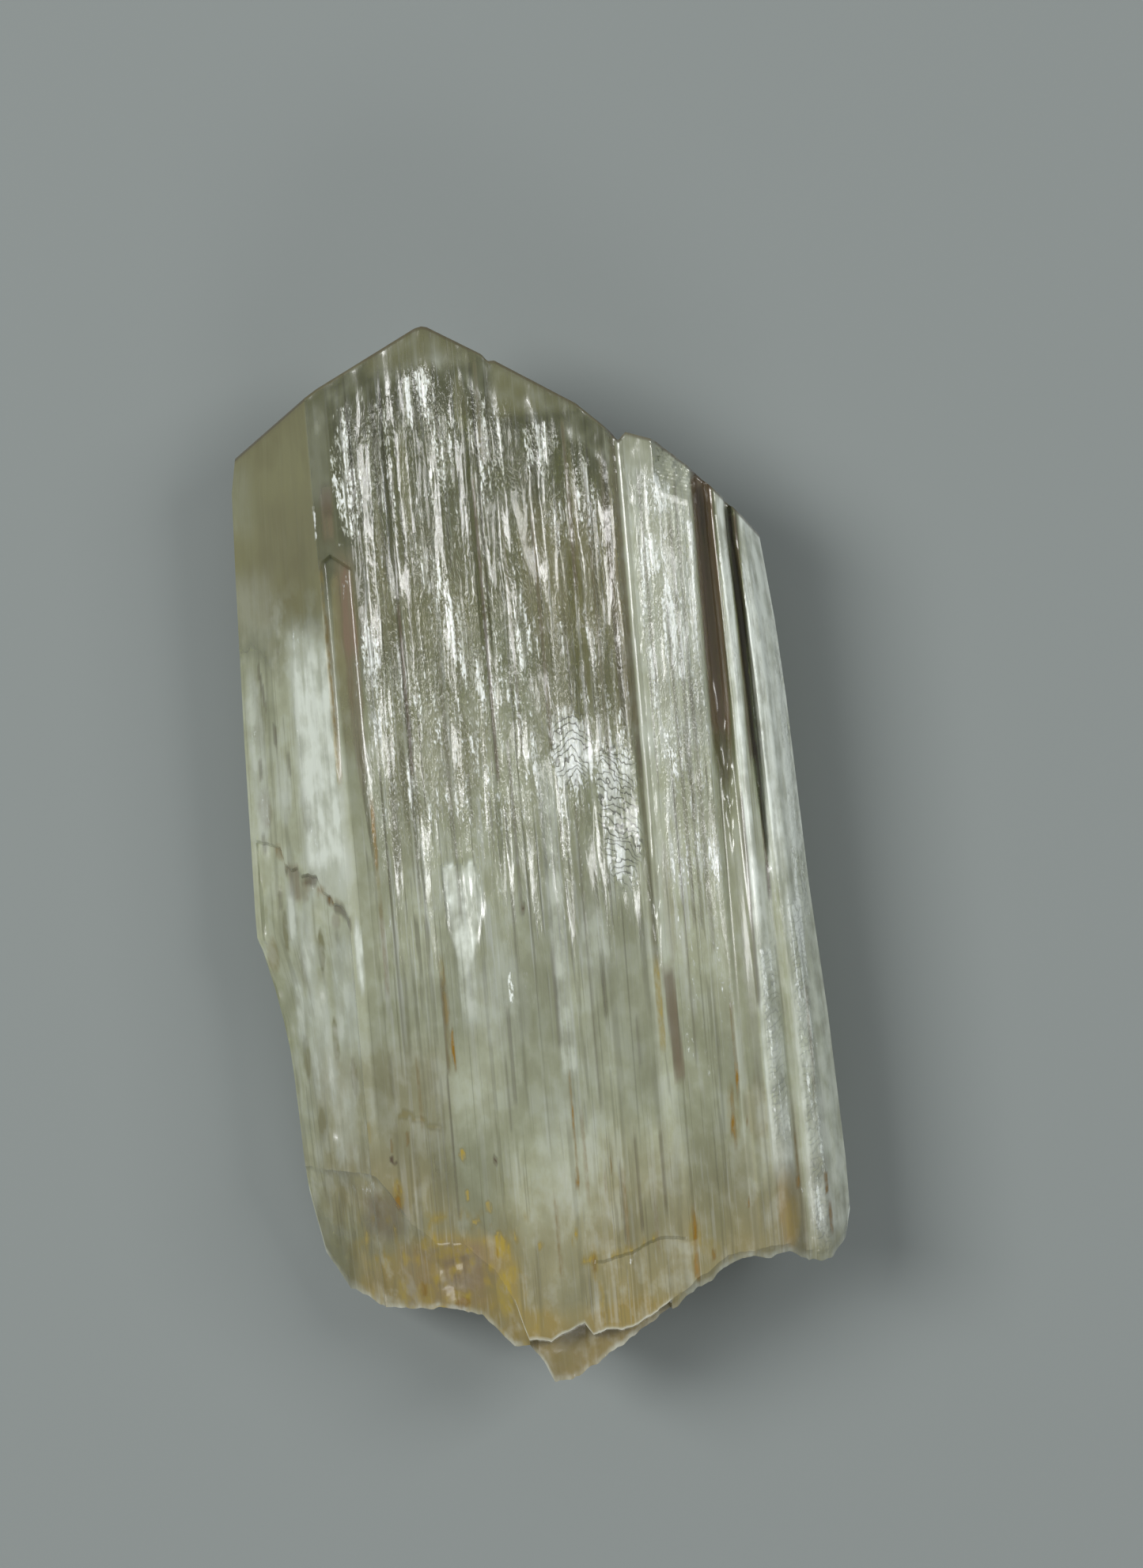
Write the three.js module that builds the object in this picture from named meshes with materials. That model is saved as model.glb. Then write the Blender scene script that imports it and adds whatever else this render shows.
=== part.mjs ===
// A spodumene crystal: one gemmy blade, 40 mm long, lying on its broad back face.
//
// Frame, in millimetres: +X across the blade, +Y along the c axis towards the termination,
// +Z up out of the broad striated front face. z = 0 is the surface that the crystal rests on.
// The origin is under the middle of the blade.
//
// The surface is a grid of stations across the blade and rows along it. Each grid point has a
// height on the front face and one on the back face. Narrow side walls, the chisel roof at the
// top and the rough break at the root close it.
import * as THREE from "three";

// ---- Driving dimensions ----------------------------------------------------------------------

const THICKNESS = 7.4;
const HALF_WIDTH = 10.75;
// Half width of the middle of the blade, inside which every striation is parallel to the c axis.
const CORE_HALF_WIDTH = 7.05;
// Slope of a prism face against the broad face.
const PRISM_SLOPE = Math.tan(THREE.MathUtils.degToRad(46.6));
// Where the left back prism face meets the back face.
const LEFT_FOOT = -7.9;
// Where the right back prism face starts, and its height at the right side edge.
const RIGHT_FOOT = 7.2;
const RIGHT_BACK_HEIGHT = 3.7;
// The crystal is monoclinic: its roof leans back from the front edge by the axial angle less 90.
const ROOF_LEAN = Math.tan(THREE.MathUtils.degToRad(20.2));
// How far the break at the root leans in towards the back face, over the full thickness.
const BREAK_LEAN = 1.6;
const BREAK_ROUGHNESS = 0.5;
// The least thickness left under a chip.
const THINNEST = 0.9;

// ---- Outline, as seen from the front ---------------------------------------------------------

// [y, x] along the left and right side edges.
const LEFT_EDGE = [
  [-12.0, -9.6],
  [-8.0, -9.75],
  [-5.6, -9.9],
  [-4.3, -10.15],
  [-2.8, -10.6],
  [-2.4, -HALF_WIDTH],
  [-1.4, -HALF_WIDTH],
  [5.0, -10.6],
  [11.0, -10.4],
  [14.5, -10.25],
  [15.8, -10.0],
];
const RIGHT_EDGE = [
  [-14.5, HALF_WIDTH],
  [-12.5, HALF_WIDTH],
  [-7.0, 10.55],
  [-2.0, 10.25],
  [5.0, 10.0],
  [8.0, 9.82],
  [11.25, 9.5],
];
// [x, y] along the roof edge of the front face. Two notches part three parallel growths.
const ROOF_EDGE = [
  [-10.0, 15.8],
  [-6.6, 17.95],
  [-2.75, 19.9],
  [-2.5, 19.95],
  [-2.3, 19.9],
  [-0.35, 18.72],
  [-0.15, 18.45],
  [0.1, 18.45],
  [3.0, 16.6],
  [4.2, 15.45],
  [4.45, 15.1],
  [4.75, 15.38],
  [5.8, 15.0],
  [7.05, 13.9],
  [9.5, 11.25],
];
// [x, y] along the broken root.
const ROOT_EDGE = [
  [-9.6, -12.0],
  [-9.2, -14.6],
  [-8.4, -16.0],
  [-7.0, -16.65],
  [-4.9, -16.75],
  [-3.4, -17.15],
  [-2.3, -18.3],
  [-1.7, -18.3],
  [-1.2, -19.1],
  [-0.9, -19.95],
  [0.0, -19.85],
  [1.3, -18.95],
  [4.2, -17.1],
  [6.0, -15.95],
  [6.5, -15.75],
  [7.5, -15.85],
  [8.3, -15.7],
  [9.0, -16.15],
  [9.9, -16.15],
  [10.5, -15.6],
  [HALF_WIDTH, -14.5],
];

// ---- Relief of the front face ----------------------------------------------------------------

// [station, drop below the broad face] of the larger striations.
const STRIATIONS = [
  [-7.05, 0.05],
  [-6.9, 0.0],
  [-6.35, 0.02],
  [-6.15, 0.14],
  [-5.75, 0.02],
  [-5.35, 0.16],
  [-4.9, 0.03],
  [-4.4, 0.08],
  [-4.15, 0.26],
  [-3.85, 0.06],
  [-3.2, 0.0],
  [-2.75, 0.14],
  [-2.3, 0.02],
  [-1.7, 0.1],
  [-1.3, 0.04],
  [-1.05, 0.3],
  [-0.75, 0.1],
  [-0.25, 0.28],
  [0.15, 0.08],
  [0.7, 0.2],
  [1.05, 0.34],
  [1.35, 0.12],
  [1.95, 0.08],
  [2.4, 0.4],
  [2.7, 0.16],
  [3.15, 0.12],
  [3.5, 0.3],
  [3.85, 0.14],
  [4.05, 0.1],
];
// [station, drop below the broad face] of the ribbed right shoulder, out to the side edge.
const SHOULDER = [
  [4.05, 0.1],
  [4.75, 0.1],
  [5.6, 0.0],
  [6.3, 0.2],
  [6.95, 0.45],
  [7.15, 0.8],
  [7.9, 0.85],
  [8.05, 0.7],
  [8.35, 0.7],
  [8.7, 0.95],
  [8.85, 1.15],
  [9.2, 1.15],
  [9.3, 1.0],
  [9.85, 1.35],
  [10.05, 1.8],
  [10.4, 2.3],
  [HALF_WIDTH, 3.1],
];
// Grooves that run down the shoulder from the roof and fade out above the root.
const GROOVES = [
  { at: 4.35, halfWidth: 0.35, depth: 0.8, end: -9.5, fade: 6 },
  { at: 7.52, halfWidth: 0.5, depth: 0.6, end: -9.5, fade: 9 },
  { at: 9.03, halfWidth: 0.25, depth: 0.7, end: -2.5, fade: 5 },
];
// A trough beside the left prism face, with an abrupt arched upper end.
const TROUGH = { from: -6.95, to: -5.9, end: 1.5, fade: 6, depth: 0.45 };
// A flat-floored pit with three sides.
const PIT = { from: -3.45, to: -2.1, top: -0.1, tip: -3.2, depth: 0.3 };
const FLAKE_DEPTH = 0.35;
const LEDGE_DEPTH = 0.3;
const LEDGE_REACH = { from: 0.5, to: 4.6 };
// The slanting break left of the root, and how steeply it falls away below the knee.
const SLANT = { to: -1.85, drop: 0.3, slope: 0.52 };
// The deeper wedge that reaches furthest at the root.
const WEDGE = { from: -1.85, to: 3.7, drop: 1.4 };
// A small chip on the roof edge.
const CHIP = { from: 5.9, to: 7.2, depth: 0.55 };

// ---- Lines that the rows follow, each [x, y] -------------------------------------------------

// The knee, where the front face ends and the break at the root begins.
const KNEE = [
  [-HALF_WIDTH, -10.9],
  [-6.9, -11.5],
  [-6.35, -12.3],
  [-5.75, -13.4],
  [-4.9, -14.1],
  [-3.85, -14.3],
  [-2.75, -15.4],
  [-2.1, -16.6],
  [-1.85, -17.6],
  [-1.7, -18.1],
  [-0.9, -18.15],
  [0.4, -17.6],
  [0.7, -18.05],
  [2.2, -17.9],
  [3.15, -17.4],
  [3.85, -16.8],
  [6.0, -15.4],
  [7.9, -15.2],
  [HALF_WIDTH, -14.0],
];
// A low ledge right of the root, which the rows follow over the whole width.
const LEDGE = [
  [-HALF_WIDTH, -9.0],
  [-6.35, -9.6],
  [-3.85, -10.2],
  [-1.85, -13.5],
  [0.5, -15.4],
  [2.4, -15.1],
  [3.5, -14.6],
  [4.6, -14.8],
  [7.15, -13.6],
  [HALF_WIDTH, -12.0],
];
// The ragged line below which a flake has left the left prism face.
const FLAKE = [
  [-HALF_WIDTH, 1.5],
  [-9.9, 1.0],
  [-9.0, 0.5],
  [-8.0, -0.6],
  [-7.05, -1.9],
  [-5.35, -1.2],
  [-3.45, -0.1],
  [HALF_WIDTH, -0.1],
];
// The upper end of the trough, and on the right the foot of the chip.
const TROUGH_TOP = [
  [-7.05, 11.5],
  [-6.6, 11.75],
  [-5.9, 11.2],
  [3.85, 12.3],
  [5.9, 13.2],
  [7.2, 12.6],
  [9.9, 10.2],
];

// ---- Relief of the back face -----------------------------------------------------------------

// [station, rise] of the back face: broad flats at z = 0 with shallow growth steps between them.
const BACK_STEPS = [
  [-5.35, 0.0],
  [-4.9, 0.25],
  [-4.15, 0.3],
  [-3.85, 0.0],
  [-2.3, 0.0],
  [-1.7, 0.3],
  [-1.3, 0.3],
  [-1.05, 0.0],
  [1.35, 0.0],
  [1.95, 0.25],
  [2.7, 0.3],
  [3.15, 0.0],
  [4.75, 0.0],
  [5.2, 0.4],
  [5.6, 0.4],
  [6.3, 0.0],
];

// ---- Sampling --------------------------------------------------------------------------------

const STATIONS = [
  -HALF_WIDTH, -9.9, -9.0, -8.0, -7.05, -6.9, -6.6, -6.35, -6.15, -5.9, -5.75, -5.35, -4.9,
  -4.4, -4.15, -3.85, -3.45, -3.2, -2.75, -2.5, -2.3, -2.1, -1.85, -1.7, -1.3, -1.05, -0.9,
  -0.75, -0.25, 0.15, 0.4, 0.7, 1.05, 1.35, 1.95, 2.4, 2.7, 3.15, 3.5, 3.85, 4.05, 4.35, 4.75,
  5.2, 5.6, 6.3, 6.95, 7.15, 7.9, 8.05, 8.35, 8.7, 8.85, 9.2, 9.3, 9.85, 10.05, 10.4,
  HALF_WIDTH,
];
// Rows between each line and the next, from the root to the roof.
const BANDS = [
  { from: ROOT_EDGE, to: KNEE, rows: 5 },
  { from: KNEE, to: LEDGE, rows: 5 },
  { from: LEDGE, to: FLAKE, rows: 9 },
  { from: FLAKE, to: TROUGH_TOP, rows: 8 },
  { from: TROUGH_TOP, to: ROOF_EDGE, rows: 6 },
];
// A row this far below each inner line carries the foot of its step.
const STEP_WIDTH = 0.14;
const BREAK_LAYERS = 4;

// ---- Helpers ---------------------------------------------------------------------------------

const { lerp, smoothstep } = THREE.MathUtils;

// The second value of a line of [first, second] points, at a first value.
function along(points, at) {
  if (at <= points[0][0]) return points[0][1];
  for (let i = 1; i < points.length; i++) {
    const [a, av] = points[i - 1];
    const [b, bv] = points[i];
    if (at <= b) return lerp(av, bv, (at - a) / (b - a));
  }
  return points.at(-1)[1];
}

// 1 inside the span from low to high and 0 outside it, with ends as wide as soft.
function within(value, low, high, soft) {
  return smoothstep(value, low - soft, low) * (1 - smoothstep(value, high, high + soft));
}

// 1 below a line by more than the width of a step, 0 above it.
function below(line, x, y) {
  return smoothstep(along(line, x) - y, 0, STEP_WIDTH);
}

// A smooth, repeatable unevenness between -1 and 1.
function unevenness(a, b) {
  const broad = 0.5 * Math.sin(1.9 * a + 0.7 * Math.sin(1.3 * b));
  const middle = 0.3 * Math.sin(3.7 * a - 2.3 * b + 1.1);
  const fine = 0.2 * Math.sin(5.9 * b + 2.1 * a);
  return broad + middle + fine;
}

// The place across the blade of a station, at a place along it. Only the flanks follow the edges.
function across(station, y) {
  const core = CORE_HALF_WIDTH;
  const outward = (Math.abs(station) - core) / (HALF_WIDTH - core);
  if (outward <= 0) return station;
  const edge = station < 0 ? along(LEFT_EDGE, y) : along(RIGHT_EDGE, y);
  return lerp(Math.sign(station) * core, edge, outward);
}

// The place along the blade where a station crosses a line.
function crossing(line, station) {
  let y = along(line, station);
  for (let pass = 0; pass < 8; pass++) y = along(line, across(station, y));
  return y;
}

// ---- Heights of the two broad faces ----------------------------------------------------------

// How far below the broad face the crystal has grown, by its striations, ribs and grooves.
function grownDrop(station, y) {
  if (station < SHOULDER[0][0]) {
    return along(STRIATIONS, station) * lerp(0.35, 1, smoothstep(y, -11, 2));
  }
  let drop = along(SHOULDER, station);
  for (const { at, halfWidth, depth, end, fade } of GROOVES) {
    const inward = Math.max(0, 1 - Math.abs(station - at) / halfWidth);
    drop += depth * Math.min(1, 1.8 * inward) * smoothstep(y, end, end + fade);
  }
  return drop;
}

// How much has been etched, flaked or chipped away since.
function lostDrop(x, y) {
  const trough = within(x, TROUGH.from, TROUGH.to, 0.12) * below(TROUGH_TOP, x, y);
  let lost = TROUGH.depth * trough * smoothstep(y, TROUGH.end, TROUGH.end + TROUGH.fade);
  const pitTo = lerp(PIT.to, PIT.from + 0.5, smoothstep(PIT.top - y, 1.2, PIT.top - PIT.tip));
  lost += PIT.depth * within(x, PIT.from, pitTo, 0.1) * within(y, PIT.tip, PIT.top, 0.15);
  if (x < -CORE_HALF_WIDTH) {
    lost += FLAKE_DEPTH * below(FLAKE, x, y) * (1 + 0.4 * unevenness(2 * x, y));
  }
  lost += LEDGE_DEPTH * within(x, LEDGE_REACH.from, LEDGE_REACH.to, 0.2) * below(LEDGE, x, y);
  const chipped = 1 - below(TROUGH_TOP, x, y);
  lost += CHIP.depth * chipped * within(x, CHIP.from, CHIP.to, 0.15);
  return lost;
}

// How far the break at the root lies below the broad face.
function brokenDrop(x, y) {
  const past = Math.max(0, along(KNEE, x) - y);
  const step = below(KNEE, x, y);
  if (x < SLANT.to) {
    return step * (SLANT.drop + 0.3 * unevenness(1.7 * x, y)) + SLANT.slope * past;
  }
  if (x < WEDGE.to) return step * WEDGE.drop + 0.25 * past;
  return 0.9 * past;
}

function backHeight(station, x) {
  const left = PRISM_SLOPE * (LEFT_FOOT - x);
  const outward = (station - RIGHT_FOOT) / (HALF_WIDTH - RIGHT_FOOT);
  return Math.max(0, left, outward * RIGHT_BACK_HEIGHT, along(BACK_STEPS, station));
}

function frontHeight(station, x, y) {
  const flank = PRISM_SLOPE * Math.max(0, -CORE_HALF_WIDTH - x);
  const lost = lostDrop(x, y) + brokenDrop(x, y);
  const height = THICKNESS - grownDrop(station, y) - flank - lost;
  const edge = Math.min(THINNEST, 0.5 + 2 * (HALF_WIDTH - Math.abs(station)));
  return Math.max(height, backHeight(station, x) + edge);
}

// ---- The grid --------------------------------------------------------------------------------

// The places of every row along a station, from the root to the roof.
function frontRows(station) {
  const rows = [];
  for (const { from, to, rows: count } of BANDS) {
    const start = crossing(from, station);
    const end = crossing(to, station) - (to === ROOF_EDGE ? 0 : STEP_WIDTH);
    for (let i = 0; i < count; i++) rows.push(lerp(start, end, i / count));
    rows.push(end);
  }
  return rows;
}

function pointOn(height, station, y) {
  const x = across(station, y);
  return new THREE.Vector3(x, y, height(station, x, y));
}

// The front and back points of a station. The back's rows are drawn in by both leaning ends.
function stationPoints(station) {
  const rows = frontRows(station);
  const front = rows.map((y) => pointOn(frontHeight, station, y));
  const [root, roof] = [front[0], front.at(-1)];
  const rootDepth = root.z - backHeight(station, root.x);
  const roofDepth = roof.z - backHeight(station, roof.x);
  const backRoot = root.y + (BREAK_LEAN * rootDepth) / THICKNESS;
  const backRoof = roof.y - ROOF_LEAN * roofDepth;
  const back = rows.map((y) => {
    const share = (y - root.y) / (roof.y - root.y);
    return pointOn(backHeight, station, lerp(backRoot, backRoof, share));
  });
  return { front, back };
}

// ---- The closed surface ----------------------------------------------------------------------

const positions = [];
const indices = [];

function addPoint(point) {
  positions.push(point.x, point.y, point.z);
  return positions.length / 3 - 1;
}

function addTriangle(a, b, c) {
  if (a !== b && b !== c && c !== a) indices.push(a, b, c);
}

// Fills the strips between neighbouring lines of vertex numbers.
function fill(lines, turned) {
  for (let i = 1; i < lines.length; i++) {
    for (let j = 1; j < lines[i].length; j++) {
      const [a, b] = [lines[i - 1][j - 1], lines[i][j - 1]];
      const [c, d] = [lines[i][j], lines[i - 1][j]];
      addTriangle(a, turned ? c : b, turned ? b : c);
      addTriangle(a, turned ? d : c, turned ? c : d);
    }
  }
}

// One inner layer of the break, uneven and set in a little from the straight way between faces.
function breakLayer(points, front, back, share) {
  const last = STATIONS.length - 1;
  return points.map((station, column) => {
    if (column === 0 || column === last) {
      return share < 0.5 ? front[column][0] : back[column][0];
    }
    const point = station.front[0].clone().lerp(station.back[0], share);
    const swell = BREAK_ROUGHNESS * Math.sin(Math.PI * share);
    point.y += swell * (1 + unevenness(point.x, 1.3 * point.z));
    return addPoint(point);
  });
}

function crystalGeometry() {
  const points = STATIONS.map(stationPoints);
  const front = points.map((station) => station.front.map(addPoint));
  const back = points.map((station) => station.back.map(addPoint));
  fill(front, false);
  fill(back, true);

  const rootLayers = [front.map((column) => column[0])];
  for (let layer = 1; layer < BREAK_LAYERS; layer++) {
    rootLayers.push(breakLayer(points, front, back, layer / BREAK_LAYERS));
  }
  rootLayers.push(back.map((column) => column[0]));
  fill(rootLayers, false);
  fill([front, back].map((face) => face.map((column) => column.at(-1))), true);
  fill([front[0], back[0]], true);
  fill([front.at(-1), back.at(-1)], false);

  const geometry = new THREE.BufferGeometry();
  geometry.setAttribute("position", new THREE.Float32BufferAttribute(positions, 3));
  geometry.setIndex(indices);
  geometry.computeVertexNormals();
  return geometry;
}

// ---- The crystal -----------------------------------------------------------------------------

const crystal = new THREE.Mesh(
  crystalGeometry(),
  new THREE.MeshStandardMaterial({ color: 0xc9c9ae, roughness: 0.18, metalness: 0 }),
);
crystal.name = "crystal";

const group = new THREE.Group();
group.add(crystal);

export default group;
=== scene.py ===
"""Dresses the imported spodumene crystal.

It makes the crystal's striated skin, its clear and milky substance, its stains, and the studio.
"""
import logging
from dataclasses import dataclass, field
from enum import Enum

import bpy
import numpy as np
from mathutils import Matrix, Vector


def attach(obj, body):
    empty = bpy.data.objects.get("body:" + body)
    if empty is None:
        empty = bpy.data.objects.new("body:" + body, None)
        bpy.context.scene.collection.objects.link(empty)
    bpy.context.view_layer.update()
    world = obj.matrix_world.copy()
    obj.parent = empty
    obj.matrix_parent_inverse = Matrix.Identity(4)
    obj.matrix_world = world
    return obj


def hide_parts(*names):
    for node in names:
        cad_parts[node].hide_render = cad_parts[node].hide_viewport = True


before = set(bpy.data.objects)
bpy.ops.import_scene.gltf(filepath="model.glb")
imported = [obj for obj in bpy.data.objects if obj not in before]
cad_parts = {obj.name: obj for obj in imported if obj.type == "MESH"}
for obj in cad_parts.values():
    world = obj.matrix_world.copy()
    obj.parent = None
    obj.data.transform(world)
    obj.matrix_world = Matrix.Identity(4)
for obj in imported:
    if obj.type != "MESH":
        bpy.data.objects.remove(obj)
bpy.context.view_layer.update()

log = logging.getLogger("spodumene")
MM = 0.001
LATTICE = 128
SHARP_ANGLE = 38
Array = np.ndarray
Colour = tuple[float, float, float, float]
Points = tuple[tuple[float, float], ...]
Rows = tuple[tuple[float, ...], ...]
Socket = bpy.types.NodeSocket
Sockets = dict[str | int, object]


# ---- Small maths ----


def along(points: Points, at: Array) -> Array:
    """Reads a line of (first, second) points.

    Args:
        points: The line's points, in rising order of the first value.
        at: First values.

    Returns:
        The second value at each first value, held level past both ends.
    """
    table = np.array(points)
    return np.interp(at, table[:, 0], table[:, 1])


def softly(points: Points, at: Array, width: float) -> Array:
    """Reads a line as along does, with its corners rounded over a width.

    Args:
        points: The line's points.
        at: First values.
        width: Half the width of the rounding.

    Returns:
        The mean of five readings spread over the width.
    """
    return sum(along(points, at + width * step) for step in (-1, -0.5, 0, 0.5, 1)) / 5


def smoothstep(value: Array, low: float, high: float) -> Array:
    """Rises smoothly from 0 at low to 1 at high."""
    share = np.clip((value - low) / (high - low), 0, 1)
    return share * share * (3 - 2 * share)


def within(value: Array, low: float, high: float, soft: float) -> Array:
    """Is 1 from low to high and 0 outside, with ends as wide as soft."""
    return smoothstep(value, low - soft, low) * (1 - smoothstep(value, high, high + soft))


def unevenness(a: Array, b: Array) -> Array:
    """Gives the broad, repeatable unevenness that the solid's chips have, from -1 to 1.

    Args:
        a: First coordinate.
        b: Second coordinate.

    Returns:
        Values from -1 to 1.
    """
    broad = 0.5 * np.sin(1.9 * a + 0.7 * np.sin(1.3 * b))
    middle = 0.3 * np.sin(3.7 * a - 2.3 * b + 1.1)
    return broad + middle + 0.2 * np.sin(5.9 * b + 2.1 * a)


@dataclass
class Grain:
    """Smooth random values on a plane, the same for the same seed."""

    seed: int
    table: Array = field(init=False)

    def __post_init__(self) -> None:
        """Draws the lattice of values."""
        self.table = np.random.default_rng(self.seed).random((LATTICE, LATTICE))

    def read(self, a: Array, b: Array) -> Array:
        """Gives the value on each lattice point, round and round."""
        return self.table[a % LATTICE, b % LATTICE]

    def at(self, a: Array, b: Array) -> Array:
        """Reads the plane.

        Args:
            a: First coordinate, one lattice step a unit.
            b: Second coordinate.

        Returns:
            Values from 0 to 1.
        """
        low_a, low_b = np.floor(a).astype(int), np.floor(b).astype(int)
        part_a, part_b = smoothstep(a - low_a, 0, 1), smoothstep(b - low_b, 0, 1)
        near, far = (
            self.read(low, low_b) * (1 - part_b) + self.read(low, low_b + 1) * part_b
            for low in (low_a, low_a + 1)
        )
        return near * (1 - part_a) + far * part_a

    def scallops(self, a: Array, b: Array) -> Array:
        """Gives shallow dishes that meet in sharp ridges.

        Args:
            a: First coordinate, about one dish a unit.
            b: Second coordinate.

        Returns:
            Values from 0 in the middle of a dish to about 1 on a ridge.
        """
        low_a, low_b = np.floor(a).astype(int), np.floor(b).astype(int)
        nearest = np.ones(np.shape(a))
        for cell_a in (low_a - 1, low_a, low_a + 1):
            for cell_b in (low_b - 1, low_b, low_b + 1):
                middle_a = cell_a + self.read(cell_a, cell_b)
                middle_b = cell_b + self.read(cell_b + LATTICE // 2, cell_a)
                nearest = np.minimum(nearest, (a - middle_a) ** 2 + (b - middle_b) ** 2)
        return nearest

    def broken(self, a: Array, b: Array) -> Array:
        """Adds three finer readings to each other, from -1 to 1."""
        total = self.at(a, b) + 0.5 * self.at(2.1 * a + 9.3, 2.1 * b + 4.1)
        return (total + 0.25 * self.at(4.3 * a, 4.3 * b + 7.7)) / 0.875 - 1


# ---- The form of the blade, in millimetres ----


@dataclass(frozen=True)
class Line:
    """A line across the blade that rows of the skin follow.

    Attributes:
        points: Its (x, y) points.
        jag: How far its small teeth reach up and down.
        seed: The seed of its teeth.
    """

    points: Points
    jag: float = 0.0
    seed: int = 1

    def at(self, x: Array) -> Array:
        """Gives the place along the blade where the line passes x.

        Args:
            x: Places across the blade.

        Returns:
            Places along the blade.
        """
        height = along(self.points, x)
        if self.jag:
            height = height + self.jag * Grain(self.seed).broken(2.3 * x, np.zeros_like(x))
        return height


@dataclass(frozen=True)
class Groove:
    """A groove that runs down from the roof and fades out.

    Attributes:
        at: Station of its middle.
        half_width: Half its width.
        depth: Its depth.
        end: Where it has gone.
        fade: The length over which it fades.
    """

    at: float
    half_width: float
    depth: float
    end: float
    fade: float

    def drop(self, station: Array, y: Array) -> Array:
        """Gives the groove's depth at each point, as it narrows to its end.

        Args:
            station: Stations across the blade.
            y: Places along the blade.

        Returns:
            Depths in millimetres.
        """
        share = smoothstep(y, self.end, self.end + self.fade)
        half = self.half_width * np.maximum(share, 0.01)
        inward = np.maximum(0, 1 - np.abs(station - self.at) / half)
        return self.depth * share * np.minimum(1, 1.8 * inward)


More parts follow.
